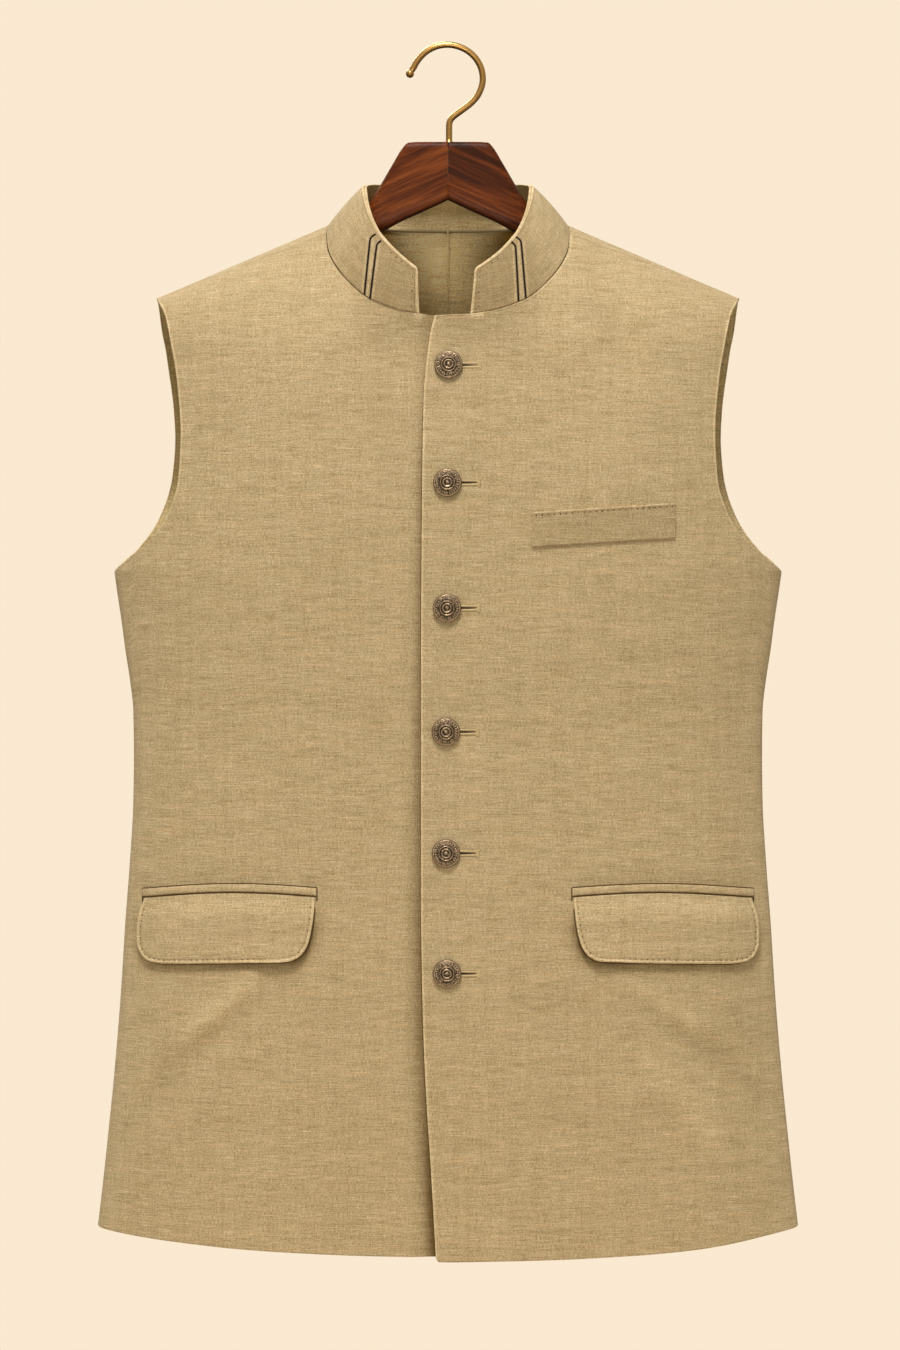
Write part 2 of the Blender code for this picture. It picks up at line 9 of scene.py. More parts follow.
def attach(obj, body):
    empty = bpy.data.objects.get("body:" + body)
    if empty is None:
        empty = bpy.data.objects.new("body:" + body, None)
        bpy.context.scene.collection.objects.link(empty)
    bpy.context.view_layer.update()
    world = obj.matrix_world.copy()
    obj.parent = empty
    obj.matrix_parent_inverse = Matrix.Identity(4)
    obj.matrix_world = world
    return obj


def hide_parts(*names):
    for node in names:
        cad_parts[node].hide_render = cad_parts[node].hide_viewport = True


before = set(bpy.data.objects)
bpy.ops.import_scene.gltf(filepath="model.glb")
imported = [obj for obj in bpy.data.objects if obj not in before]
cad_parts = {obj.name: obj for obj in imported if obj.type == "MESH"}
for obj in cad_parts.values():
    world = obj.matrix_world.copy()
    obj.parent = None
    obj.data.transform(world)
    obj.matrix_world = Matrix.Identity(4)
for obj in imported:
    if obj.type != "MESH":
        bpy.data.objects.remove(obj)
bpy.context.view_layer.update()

scene = bpy.context.scene
scene.view_settings.view_transform = "Standard"
mm = 0.001

# The jacket hangs from the origin, under the crown of the hook. X runs to the wearer's left,
# the front faces -Y and Z is up. Tables are in millimetres.

# The camera stands level, straight in front of the chest.
shot = {"place": (0.0015, -3.0, -0.4636), "lens": 108.1, "sensor": 36.0}


def makeCamera():
    lens = bpy.data.cameras.new("shot")
    lens.lens = shot["lens"]
    lens.sensor_width = shot["sensor"]
    camera = bpy.data.objects.new("shot", lens)
    camera.location = shot["place"]
    camera.rotation_euler = (math.radians(90), 0, 0)
    scene.collection.objects.link(camera)
    scene.camera = camera


makeCamera()


class Wire:
    # One socket of a node tree. Numbers and other sockets combine with it as in ordinary maths.
    def __init__(self, tree, socket=None, made=None):
        self.tree = tree
        self.socket = socket
        self.made = made

    def node(self, kind, settings=None, sockets=None, out=0):
        made = self.tree.nodes.new(kind)
        for name, value in (settings or {}).items():
            if name == "stops":
                ramp = made.color_ramp
                while len(ramp.elements) < len(value):
                    ramp.elements.new(1.0)
                for element, (position, colour) in zip(ramp.elements, value):
                    element.position = position
                    element.color = colour
            else:
                setattr(made, name, value)
        for name, value in (sockets or {}).items():
            if isinstance(value, Wire):
                self.tree.links.new(value.socket, made.inputs[name])
            else:
                made.inputs[name].default_value = value
        return Wire(self.tree, made.outputs[out] if made.outputs else None, made)

    def output(self, name):
        return Wire(self.tree, self.made.outputs[name], self.made)

    def maths(self, operation, first, second=None):
        sockets = {0: first} if second is None else {0: first, 1: second}
        return self.node("ShaderNodeMath", {"operation": operation}, sockets)

    def __add__(self, other):
        return self.maths("ADD", self, other)

    __radd__ = __add__

    def __sub__(self, other):
        return self.maths("SUBTRACT", self, other)

    def __rsub__(self, other):
        return self.maths("SUBTRACT", other, self)

    def __mul__(self, other):
        return self.maths("MULTIPLY", self, other)

    def __abs__(self):
        return self.maths("ABSOLUTE", self)

    def sine(self):
        return self.maths("SINE", self)

    def above(self, limit):
        return self.maths("GREATER_THAN", self, limit)

    def fade(self, low, high):
        # 0 below low, 1 above high, smooth between
        kind = {"interpolation_type": "SMOOTHSTEP"}
        return self.node("ShaderNodeMapRange", kind, {"Value": self, "From Min": low, "From Max": high})

    def mixed(self, low, high, blend="MIX"):
        # this value as the factor between two colours
        kind = {"data_type": "RGBA", "blend_type": blend, "clamp_factor": True}
        return self.node("ShaderNodeMix", kind, {0: self, 6: low, 7: high}, out=2)

    def blended(self, low, high):
        # the same between two numbers
        return self.node("ShaderNodeMix", {"data_type": "FLOAT"}, {0: self, 2: low, 3: high})


def newMaterial(name, constants):
    material = bpy.data.materials.new(name)
    material.use_nodes = True
    shader = material.node_tree.nodes["Principled BSDF"]
    for socket, value in constants.items():
        shader.inputs[socket].default_value = value
    return material, Wire(material.node_tree), shader


def feed(shader, **links):
    # joins wires to the shader's sockets, whose names are given without spaces
    names = {"colour": "Base Color", "roughness": "Roughness", "metallic": "Metallic", "normal": "Normal",
             "alpha": "Alpha"}
    for name, wire in links.items():
        wire.tree.links.new(wire.socket, shader.inputs[names[name]])


def bumped(height, distance):
    # distance in millimetres
    sockets = {"Height": height, "Distance": distance * mm, "Strength": 1.0}
    return height.node("ShaderNodeBump", None, sockets)


def scaled(colour, share, most=math.inf):
    # a colour's parts times one share, or times one for each part
    shares = np.broadcast_to(share, 3).tolist()
    return tuple(min(most, part * by) for part, by in zip(colour, shares)) + (1,)


# Pale studio: an even warm wall all round, a softer light on the object, three lamps, and a floor
# that fades out between two shares of its radius.
studio = {
    "wall": (0.957, 0.816, 0.632, 1),
    "dome": (0.84, 0.79, 0.69, 1), "domeLow": 0.34, "domeHigh": 0.66, "domeRise": (-0.5, 1.0),
    "lamps": (
        # name, place, aim, width, watts, colour
        ("key", (-0.2, -1.75, 2.2), (0, 0, -0.38), 0.9, 70, (0.97, 0.96, 1.0)),
        ("front", (-0.18, -3.3, -0.55), (0, 0, -0.4), 0.8, 17, (1.0, 0.97, 0.93)),
        ("back", (-0.7, 2.0, 1.5), (0, 0, -0.4), 1.4, 34, (1.0, 0.96, 0.9)),
    ),
    "floorZ": -1.35, "floorRadius": 1.5, "floorFade": (0.35, 0.98), "floor": (0.86, 0.73, 0.57, 1),
}


def makeStudio():
    world = bpy.data.worlds.new("studio")
    world.use_nodes = True
    scene.world = world
    wire = Wire(world.node_tree)
    world.node_tree.nodes.clear()
    seen = wire.node("ShaderNodeLightPath").output("Is Camera Ray")
    way = wire.node("ShaderNodeTexCoord").output("Generated")
    up = wire.node("ShaderNodeSeparateXYZ", None, {0: way}).output("Z")
    strength = up.fade(*studio["domeRise"]).blended(studio["domeLow"], studio["domeHigh"])
    wall = wire.node("ShaderNodeBackground", None, {"Color": studio["wall"], "Strength": 1.0})
    dome = wire.node("ShaderNodeBackground", None, {"Color": studio["dome"], "Strength": strength})
    both = wire.node("ShaderNodeMixShader", None, {0: seen, 1: dome, 2: wall})
    wire.node("ShaderNodeOutputWorld", None, {"Surface": both})
    for name, place, aim, width, watts, colour in studio["lamps"]:
        lamp = bpy.data.lights.new(name, "AREA")
        lamp.shape = "DISK"
        lamp.size = width
        lamp.energy = watts
        lamp.color = colour
        holder = bpy.data.objects.new(name, lamp)
        holder.location = place
        holder.rotation_euler = (Vector(aim) - Vector(place)).to_track_quat("-Z", "Y").to_euler()
        scene.collection.objects.link(holder)


def makeFloor():
    ground = bmesh.new()
    bmesh.ops.create_circle(ground, cap_ends=True, segments=96, radius=studio["floorRadius"])
    bmesh.ops.translate(ground, verts=ground.verts, vec=(0, 0, studio["floorZ"]))
    data = bpy.data.meshes.new("floor")
    ground.to_mesh(data)
    ground.free()
    floor = bpy.data.objects.new("floor", data)
    scene.collection.objects.link(floor)
    material, wire, shader = newMaterial("paleFloor", {"Base Color": studio["floor"], "Roughness": 0.9})
    place = wire.node("ShaderNodeTexCoord").output("Object")
    flat = wire.node("ShaderNodeVectorMath", {"operation": "MULTIPLY"}, {0: place, 1: (1, 1, 0)})
    away = wire.node("ShaderNodeVectorMath", {"operation": "LENGTH"}, {0: flat}).output("Value")
    near, far = (studio["floorRadius"] * share for share in studio["floorFade"])
    feed(shader, alpha=1 - away.fade(near, far))
    data.materials.append(material)


makeStudio()
makeFloor()
print("camera, lights and floor made")

# Khaki linen. Each kind of thread or patch has its cell across and up in millimetres, its detail, and its
# weights in the tone and in the height; a slub shows only between two limits of its noise.
linen = {
    "dark": (0.36, 0.250, 0.100), "light": (0.74, 0.575, 0.330), "tone": 0.47,
    "kinds": {
        "weft": ((16.0, 0.75), 2.0, 0.95, 0.8),
        "warp": ((0.75, 7.0), 2.0, 0.60, 0.7),
        "grain": ((1.5, 0.8), 1.0, 1.25, 0.4),
        "patch": ((75.0, 6.5), 2.0, 0.34, 0.0),
        "cloud": ((32.0, 3.2), 2.0, 0.36, 0.0),
        "stripe": ((4.5, 60.0), 2.0, 0.26, 0.0),
    },
    "slubs": (((17.0, 0.9), (0.60, 0.78), 1.0), ((0.9, 12.0), (0.64, 0.82), 0.6)), "slub": (0.30, 0.4),
    "pitch": 0.72, "weaveMiddle": 0.6, "weave": (0.10, 0.35), "relief": 0.24, "roughness": (0.82, 0.96),
    # on the next line, the last weights say how strongly the painted light and shade change each colour
    # channel
    "blush": (1.0, 0.93, 0.86, 1), "blushFrom": (0.52, 0.66), "worn": (0.67, 0.74, 0.88),
    # the inside faces take a paler copy of the linen, painted light for the dim inside
    "inside": (1.60, 1.68, 1.60), "insideShift": 3.1,
    "shader": {"Specular IOR Level": 0.28, "Sheen Weight": 0.10, "Sheen Roughness": 0.5,
               "Sheen Tint": (1.0, 0.93, 0.80, 1)},
}


def linenMaterial(name, shift=0.0, gain=(1.0, 1.0, 1.0)):
    material, wire, shader = newMaterial(name, linen["shader"])
    flat = wire.node("ShaderNodeUVMap", {"uv_map": "cloth"})

    def noise(cell, detail):
        scale = (1 / (cell[0] * mm), 1 / (cell[1] * mm), 1)
        spread = wire.node("ShaderNodeMapping", None, {0: flat, 1: (shift, shift * 0.7, 0), 3: scale})
        sockets = {"Vector": spread, "Scale": 1.0, "Detail": detail, "Roughness": 0.6}
        return wire.node("ShaderNodeTexNoise", {"noise_dimensions": "2D"}, sockets)

    place = wire.node("ShaderNodeSeparateXYZ", None, {0: flat})
    turn = math.pi / (linen["pitch"] * mm)
    across, up = (place.output("X") * turn).sine(), (place.output("Y") * turn).sine()
    weave = (across * up).above(0.0).blended(abs(across), abs(up))
    slub = sum(noise(cell, 1.0).fade(*limits) * share for cell, limits, share in linen["slubs"])
    tone = (weave - linen["weaveMiddle"]) * linen["weave"][0] + slub * linen["slub"][0] + linen["tone"]
    height = weave * linen["weave"][1] + slub * linen["slub"][1]
    found = {}
    for kind, (cell, detail, weight, lift) in linen["kinds"].items():
        found[kind] = noise(cell, detail)
        tone = tone + (found[kind] - 0.5) * weight
        if lift:
            height = height + found[kind] * lift
    ends = {0: tone, 6: scaled(linen["dark"], gain), 7: scaled(linen["light"], gain)}
    beyond = {"data_type": "RGBA", "clamp_factor": False}  # a tone past either end goes on beyond it
    colour = wire.node("ShaderNodeMix", beyond, ends, out=2)
    blushed = found["patch"].mixed(colour, linen["blush"], "MULTIPLY")
    colour = found["cloud"].fade(*linen["blushFrom"]).mixed(colour, blushed)
    # painted light and shade: the points' attribute makes the cloth paler on rims, folds and lit places,
    # darker where shade falls
    worn = wire.node("ShaderNodeAttribute", {"attribute_name": "worn"}).output("Fac")
    paintedLightGain = {0: worn, 1: linen["worn"], 2: (1, 1, 1)}
    paintedLightGain = wire.node("ShaderNodeVectorMath", {"operation": "MULTIPLY_ADD"}, paintedLightGain)
    colour = wire.node("ShaderNodeVectorMath", {"operation": "MULTIPLY"}, {0: colour, 1: paintedLightGain})
    feed(shader, colour=colour, roughness=found["weft"].blended(*linen["roughness"]),
         normal=bumped(height, linen["relief"]))
    return material


# Walnut. Bands, streaks and pores have a cell along and across the grain in millimetres, their detail and
# roughness; "leftShift" moves the left arm's grain, and the arms are darker there; their top and underside
# are painted darker as shade.
walnut = {
    "slope": 24.0, "band": ((120.0, 7.5), 3.0, 0.55), "streak": ((40.0, 1.1), 3.0, 0.65),
    "pore": ((15.0, 0.42), 1.0, 0.55), "distortion": 0.25, "leftShift": (3.7, 8.3),
    "tone": 0.50, "bandTone": 0.78, "streakTone": 0.48, "leftDarker": 0.10, "topPaintedShade": 0.06,
    "topFrom": (-0.110, -0.074), "poreFrom": (0.62, 0.74), "poreDark": 0.45, "underPaintedShade": 0.8,
    "dark": (0.018, 0.008, 0.005, 1), "roughness": (0.30, 0.46), "streakLift": 0.6, "relief": 0.10,
    "stops": ((0.28, (0.044, 0.0110, 0.0030, 1)), (0.45, (0.122, 0.027, 0.0055, 1)),
              (0.58, (0.225, 0.056, 0.0110, 1)), (0.76, (0.32, 0.094, 0.0200, 1))),
    "shader": {"Specular IOR Level": 0.09, "Coat Weight": 0.03, "Coat Roughness": 0.25},
}


def walnutMaterial():
    material, wire, shader = newMaterial("walnut", walnut["shader"])
    place = wire.node("ShaderNodeTexCoord").output("Object")
    parts = wire.node("ShaderNodeSeparateXYZ", None, {0: place})
    left = parts.output("X").above(0.0)
    out, up, deep = abs(parts.output("X")), parts.output("Z"), parts.output("Y")
    c, s = math.cos(math.radians(walnut["slope"])), math.sin(math.radians(walnut["slope"]))
    run, cross = out * c - up * s, out * s + up * c
    shiftY, shiftZ = (left * shift for shift in walnut["leftShift"])

    def grain(cell, detail, roughness):
        along, over = 1 / (cell[0] * mm), 1 / (cell[1] * mm)
        sockets = {"X": run * along, "Y": cross * over + shiftY, "Z": deep * over + shiftZ}
        spot = wire.node("ShaderNodeCombineXYZ", None, sockets)
        sockets = {"Vector": spot, "Scale": 1.0, "Detail": detail, "Roughness": roughness,
                   "Distortion": walnut["distortion"]}
        return wire.node("ShaderNodeTexNoise", None, sockets)

    band, streak, pore = (grain(*walnut[kind]) for kind in ("band", "streak", "pore"))
    pore = pore.fade(*walnut["poreFrom"])
    tone = (band - 0.5) * walnut["bandTone"] + (streak - 0.5) * walnut["streakTone"] + walnut["tone"]
    # painted shade at the top of the arms
    tone = tone - left * walnut["leftDarker"] - up.fade(*walnut["topFrom"]) * walnut["topPaintedShade"]
    ramp = wire.node("ShaderNodeValToRGB", {"stops": walnut["stops"]}, {"Fac": tone})
    # painted shade on the arms' underside, from their attribute "under"
    under = wire.node("ShaderNodeAttribute", {"attribute_name": "under"}).output("Fac")
    colour = (pore * walnut["poreDark"] + under * walnut["underPaintedShade"]).mixed(ramp, walnut["dark"])
    feed(shader, colour=colour, roughness=streak.blended(*walnut["roughness"]),
         normal=bumped(streak * walnut["streakLift"] - pore, walnut["relief"]))
    return material


def metalMaterial(name, look):
    # a rubbed metal; its attribute polish is 0 in the hollows and 1 on the high places, and on the hook it
    # is painted light, by the way each point faces
    material, wire, shader = newMaterial(name, {})
    place = wire.node("ShaderNodeTexCoord").output("Object")
    sockets = {"Vector": place, "Scale": look["cloud"], "Detail": 4.0}
    cloud = wire.node("ShaderNodeTexNoise", None, sockets)
    polish = wire.node("ShaderNodeAttribute", {"attribute_name": "polish"}).output("Fac")
    worn = (polish + (cloud - 0.5) * look["uneven"]).fade(0.0, 1.0)
    feed(shader, colour=worn.mixed(look["hollow"], look["high"]), normal=bumped(cloud, look["dents"]),
         metallic=worn.blended(*look["metallic"]), roughness=worn.blended(*look["roughness"]))
    return material


# Threads and cords: colour, roughness, sheen. Their fibres go from a darker to a paler tone.
threadLooks = {
    # pick stitches: partly the thread's own colour, partly the painted shade of the dimples they sink into
    "pickThreadAndShade": ((0.135, 0.082, 0.034), 0.85, 0.0),
    # thread of the front edge's stitches, and also dark cords of painted shade beside the buttonhole lips
    # and under the neck seam
    "edgeThreadAndShade": ((0.36, 0.265, 0.13), 0.75, 0.15),
    "buttonholeThread": ((0.69, 0.53, 0.27), 0.6, 0.15),
    # painted shade inside the buttonholes' slits
    "slitPaintedShade": ((0.020, 0.010, 0.005), 0.75, 0.15),
    # painted shadow in crevices beside the pockets and the front edge
    "paintedShadeCord": ((0.125, 0.076, 0.029), 0.85, 0.0),
    "paleThread": ((0.80, 0.63, 0.36), 0.7, 0.15),
    "pipingCord": ((0.014, 0.007, 0.0035), 0.8, 0.0),
}
fibres = {"scale": 2600.0, "dark": 0.65, "light": 1.35, "rougher": 0.15, "relief": 0.12,
          "shine": (0.2, 0.6)}


def threadMaterial(name, colour, roughness, sheen):
    shine = fibres["shine"][0] + sheen * fibres["shine"][1]
    material, wire, shader = newMaterial(name, {"Specular IOR Level": shine, "Sheen Weight": sheen})
    place = wire.node("ShaderNodeTexCoord").output("Object")
    sockets = {"Vector": place, "Scale": fibres["scale"], "Detail": 2.0}
    fibre = wire.node("ShaderNodeTexNoise", None, sockets)
    dark, light = scaled(colour, fibres["dark"]), scaled(colour, fibres["light"], 1.0)
    feed(shader, colour=fibre.mixed(dark, light), normal=bumped(fibre, fibres["relief"]),
         roughness=fibre.blended(roughness, roughness + fibres["rougher"]))
    return material


# Metals, in their hollows and on their high places.
metals = {
    "bronze": {
        "hollow": (0.040, 0.024, 0.013, 1), "high": (0.455, 0.325, 0.195, 1), "cloud": 620.0,
        "uneven": 1.0, "metallic": (0.7, 1.0), "roughness": (0.60, 0.36), "dents": 0.12,
    },
    "brass": {
        "hollow": (0.060, 0.022, 0.005, 1), "high": (0.64, 0.360, 0.108, 1), "cloud": 60.0,
        "uneven": 0.4, "metallic": (1.0, 1.0), "roughness": (0.38, 0.27), "dents": 0.001,
    },
}
cloth = linenMaterial("khakiLinen")
# painted light: a paler copy of the linen for the faces inside the jacket
paintedLitInsideCloth = linenMaterial("khakiLinenPaintedLitInside", linen["insideShift"], linen["inside"])
wood = walnutMaterial()
bronze = metalMaterial("agedBronze", metals["bronze"])
brass = metalMaterial("hookBrass", metals["brass"])
threads = {name: threadMaterial(name, *look) for name, look in threadLooks.items()}
print("materials made")


def smoothstep(t):
    t = np.clip(t, 0, 1)
    return t * t * (3 - 2 * t)


def bell(away, width, power=2):
    # 1 at 0, falling away to both sides
    return np.exp(-((away / width) ** power))


def smoothThrough(keys, values, at):
    # a smooth curve through a table's points, without overshoot
    keys, values = np.asarray(keys, float), np.asarray(values, float)
    if keys[0] > keys[-1]:
        keys, values = keys[::-1], values[::-1]
    step = np.diff(keys)
    slope = np.diff(values) / step
    joined = slope[:-1] * slope[1:] > 0
    total = np.where(joined, slope[:-1] + slope[1:], 1)
    middle = np.where(joined, 2 * slope[:-1] * slope[1:] / total, 0)
    tangent = np.concatenate([slope[:1], middle, slope[-1:]])
    at = np.clip(np.asarray(at, float), keys[0], keys[-1])
    i = np.clip(np.searchsorted(keys, at, side="right") - 1, 0, len(step) - 1)
    t = (at - keys[i]) / step[i]
    return (
        values[i] * (1 + 2 * t) * (1 - t) ** 2
        + tangent[i] * step[i] * t * (1 - t) ** 2
        + values[i + 1] * t * t * (3 - 2 * t)
        + tangent[i + 1] * step[i] * t * t * (t - 1)
    )


def curveThrough(points, at):
    # points at shares of the arc length of a Catmull-Rom curve through the given ones
    points = np.asarray(points, float)
    padded = np.vstack([2 * points[0] - points[1], points, 2 * points[-1] - points[-2]])
    t = np.linspace(0, 1, 24, endpoint=False)[:, None]
    fine = []
    for a, b, c, d in zip(padded, padded[1:], padded[2:], padded[3:]):
        second, third = 2 * a - 5 * b + 4 * c - d, 3 * b - a - 3 * c + d
        fine.append(0.5 * (2 * b + (c - a) * t + second * t**2 + third * t**3))
    fine = np.vstack(fine + [points[-1:]])
    length = np.concatenate([[0], np.cumsum(np.linalg.norm(np.diff(fine, axis=0), axis=1))])
    return np.column_stack([np.interp(np.asarray(at) * length[-1], length, part) for part in fine.T])


def steps(length, head, tail, cell):
    # places from 0 to length: given first and last steps, and even cells between
    first, last = np.cumsum((0,) + head), length - np.cumsum((0,) + tail)[::-1]
    count = max(1, round((last[0] - first[-1]) / cell))
    return np.concatenate([first, np.linspace(first[-1], last[0], count + 1)[1:-1], last])


def softNoise(x, z, cell, seed):
    # smooth random heights from -1 to 1, with cells of the given width and height
    lattice = np.random.default_rng(seed).uniform(-1, 1, (61, 61))
    a, b = np.broadcast_arrays(x / cell[0] + 30.0, z / cell[1] + 60.0)
    i, j = np.floor(a).astype(int), np.floor(b).astype(int)
    s, t = a - i, b - j
    s, t = s**3 * (s * (6 * s - 15) + 10), t**3 * (t * (6 * t - 15) + 10)
    corner = {(p, q): lattice[(i + p) % 61, (j + q) % 61] for p in (0, 1) for q in (0, 1)}
    low = corner[0, 0] * (1 - s) + corner[1, 0] * s
    high = corner[0, 1] * (1 - s) + corner[1, 1] * s
    return low * (1 - t) + high * t


# The body. By height: the half width at the side seam, the depths on the centre line, and where the
# section would close above the underarm. Then the armholes, the hem, the front's edge and the shoulder.
body = {
    "sideZ": (-386.7, -401, -423, -445, -467, -490, -523, -556, -600, -645, -700, -756, -800, -845, -872),
    "sideX": (246.9, 244.9, 241.6, 238.7, 235.3, 232.8, 232.4, 232.8, 235.3, 238.7, 242.2, 246.8, 251.2,
              256, 259.2),
    "depthZ": (-90, -203, -270, -350, -450, -530, -620, -700, -890),
    "front": (52, 55, 60.5, 63, 60.5, 57.5, 58, 60, 60),
    "back": (48, 54, 59, 60, 54, 48, 50, 52.5, 53),
    "reachZ": (-180, -240, -300, -350, -375, -386.7),
    "reachX": (246, 241, 240, 241.5, 244.5, 246.9),
    "frontHoleX": (207.8, 202.2, 198.7, 195.6, 197.5, 200.7, 206.1, 213.6, 224.2, 235.2, 242.4),
    "frontHoleZ": (-200.4, -226.6, -247.6, -284.6, -321.1, -334.1, -348, -359.9, -369.8, -378.5, -382.9),
    "backHoleX": (213.9, 211.3, 209.2, 207.1, 205.5, 204.5, 206, 208.6, 213.6, 221.1, 232.5, 240.6),
    "backHoleZ": (-206.4, -220.9, -235.7, -250.6, -265.5, -288.2, -310.3, -325.3, -340.4, -355.5, -370.6,
                  -378.2),
    "hemX": (0, 65, 127, 160, 189, 212, 230, 245, 260),
    "hemZ": (-886.3, -885.2, -882.8, -880.9, -878.4, -876.3, -874.3, -872.6, -870.8),
    "edgeZ": (-203.2, -212, -227, -245, -263, -334, -480, -625, -700, -740, -780, -830, -889.8),
    "edgeX": (-9.8, -12.3, -14.5, -16.7, -17.8, -18.9, -19.7, -19.7, -18.6, -17.4, -15.4, -12.2, -8.9),
    "ridgeX": 96.9, "ridgeZ": -135.0, "ridgeSlope": -0.4225, "tipX": 215.3, "roundX": 90.0,
    "neckRound": 100.0, "tipRound": 40.0, "underarm": (246.9, -386.7), "power": 2.6, "foldsFade": 25.0,
    "wall": 2.0, "gap": 0.3, "seam": 0.05, "rounding": 0.75, "map": (37.0, 11.0), "mapX": 270,
    "mapZ": (-900, -90),
    # the under front's edge, and how it steps back behind the upper one, more so further down
    "underEdge": 15.0, "underStep": 2.7, "underStepLow": 1.9, "underWide": 9.0, "underFrom": (-230, 600),
    "upperDrop": 3.5, "dropFades": (255, 75), "hemCorner": 3.5,
    # heights where the rows of the panels begin and where they turn to the hem's spacing
    "upperTopZ": -202.1, "underTopZ": -201.8, "underCornerZ": -201.9, "backTopZ": -131.2,
    "turnZ": {"front": -400, "back": -395},
    "rowsPerStep": 7, "cell": 3.5, "panelWidth": 252.0, "underWidth": 235.0, "hiddenPast": 15.0,
    "fineCells": (1.1, 0.7, 0.6, 0.6, 0.7, 0.9, 1.3, 2.0, 2.8),
    "hemCells": (1.1, 0.8, 0.8, 1.0, 1.5, 2.5, 4.0),
}

# Long soft folds and short creases: start, end, half width, height outwards.
creases = {
    "front": (
        ((-143, -686), (-190, -726), 9, 3.6), ((-139, -700), (-214, -766), 9, -3.0),
        ((-178, -712), (-238, -770), 13, 2.2), ((118, -680), (184, -726), 11, 2.8),
        ((130, -694), (218, -756), 8, -3.2), ((150, -740), (202, -806), 17, 1.5),
        ((196, -700), (232, -736), 8, 1.6), ((112, -436), (208, -450), 6, 0.75),
        ((120, -470), (214, -478), 5, 0.6), ((38, -492), (78, -495), 5, 0.7),
        ((26, -515), (70, -517), 4, -0.6), ((-120, -545), (-66, -549), 5, -0.7),
        ((-130, -512), (-84, -513), 5, 0.7), ((-60, -526), (-26, -524), 3.5, -0.7),
        ((-190, -468), (-90, -474), 7, 0.7), ((-176, -436), (-80, -438), 6, -0.6),
        ((104, -150), (128, -240), 13, -1.8), ((140, -160), (146, -270), 15, 1.0),
        ((-112, -152), (-140, -215), 14, -0.9), ((190, -372), (140, -408), 12, 0.9),
        ((-188, -374), (-132, -402), 13, 0.9), ((6, -430), (26, -436), 6, 0.8),
        ((6, -521), (24, -530), 6, 0.8), ((6, -608), (26, -616), 6, 0.8),
        ((-60, -820), (-150, -838), 14, 0.9), ((70, -800), (190, -812), 12, -1.0),
        ((40, -766), (150, -772), 14, 0.8),
    ),
    "back": (
        ((-120, -700), (-205, -770), 18, 3.0), ((120, -700), (205, -770), 18, 3.0),
        ((-60, -470), (-170, -540), 20, -2.0), ((60, -470), (170, -540), 20, -2.0),
        ((-186, -372), (-120, -412), 14, 1.1), ((182, -376), (118, -404), 13, 1.0),
        ((-30, -175), (-120, -196), 15, -0.9), ((26, -180), (112, -200), 14, -0.9),
        ((-90, -610), (20, -618), 9, 0.6), ((60, -828), (150, -815), 18, 0.8),
    ),
}
# Painted light and shade along folds and on the shoulders, paler where positive and darker where negative:
# start, end, half width, amount.
paintedShading = {
    "front": (
        ((-140, -684), (-190, -727), 7, 0.34), ((-136, -700), (-210, -767), 6, -0.07),
        ((-196, -752), (-242, -800), 8, -0.10), ((112, -680), (188, -724), 8, 0.22),
        ((116, -684), (236, -774), 6.0, -0.20), ((146, -742), (202, -808), 12, 0.17),
        ((200, -700), (236, -734), 6, -0.09), ((8, -433), (26, -438), 7, 0.10),
        ((8, -523), (24, -531), 7, 0.10), ((8, -611), (26, -618), 7, 0.08),
        ((104, -150), (122, -240), 12, -0.10), ((150, -180), (100, -330), 38, 0.08),
        ((-110, -180), (-90, -310), 40, 0.05), ((75, -812), (190, -822), 6, -0.06),
    ),
    "back": (
        ((-120, -692), (-204, -762), 8, 0.18), ((-112, -706), (-206, -782), 7, -0.14),
        ((122, -694), (202, -758), 8, 0.20), ((116, -710), (210, -784), 7, -0.16),
        ((-70, -474), (-160, -532), 9, -0.10), ((72, -472), (164, -536), 9, -0.11),
        ((-180, -378), (-124, -414), 8, 0.09), ((178, -382), (122, -406), 8, 0.08),
        ((-110, -180), (-100, -300), 38, 0.06), ((112, -180), (96, -310), 38, 0.06),
        ((-60, -828), (-170, -838), 7, -0.07),
    ),
}
# Heights and cells of the cloth's faint unevenness.
ripples = ((0.55, (95, 60)), (0.26, (40, 24)), (0.09, (17, 9)))


def alongLine(x, z, start, end, width):
    # 1 on a line in the front view, fading to its sides and ends
    run = np.subtract(end, start)
    t = ((x - start[0]) * run[0] + (z - start[1]) * run[1]) / (run @ run)
    near = np.clip(t, 0, 1)
    away = np.hypot(x - start[0] - near * run[0], z - start[1] - near * run[1])
    return smoothstep((t + 0.25) / 0.5) * smoothstep((1.25 - t) / 0.5) * bell(away, width)


def ridgeZ(x):
    return body["ridgeZ"] + body["ridgeSlope"] * (np.abs(x) - body["ridgeX"])


def halfWidth(z):
    upper = smoothThrough(body["reachZ"], body["reachX"], z)
    lower = smoothThrough(body["sideZ"], body["sideX"], z)
    return np.where(np.asarray(z) > body["underarm"][1], upper, lower)


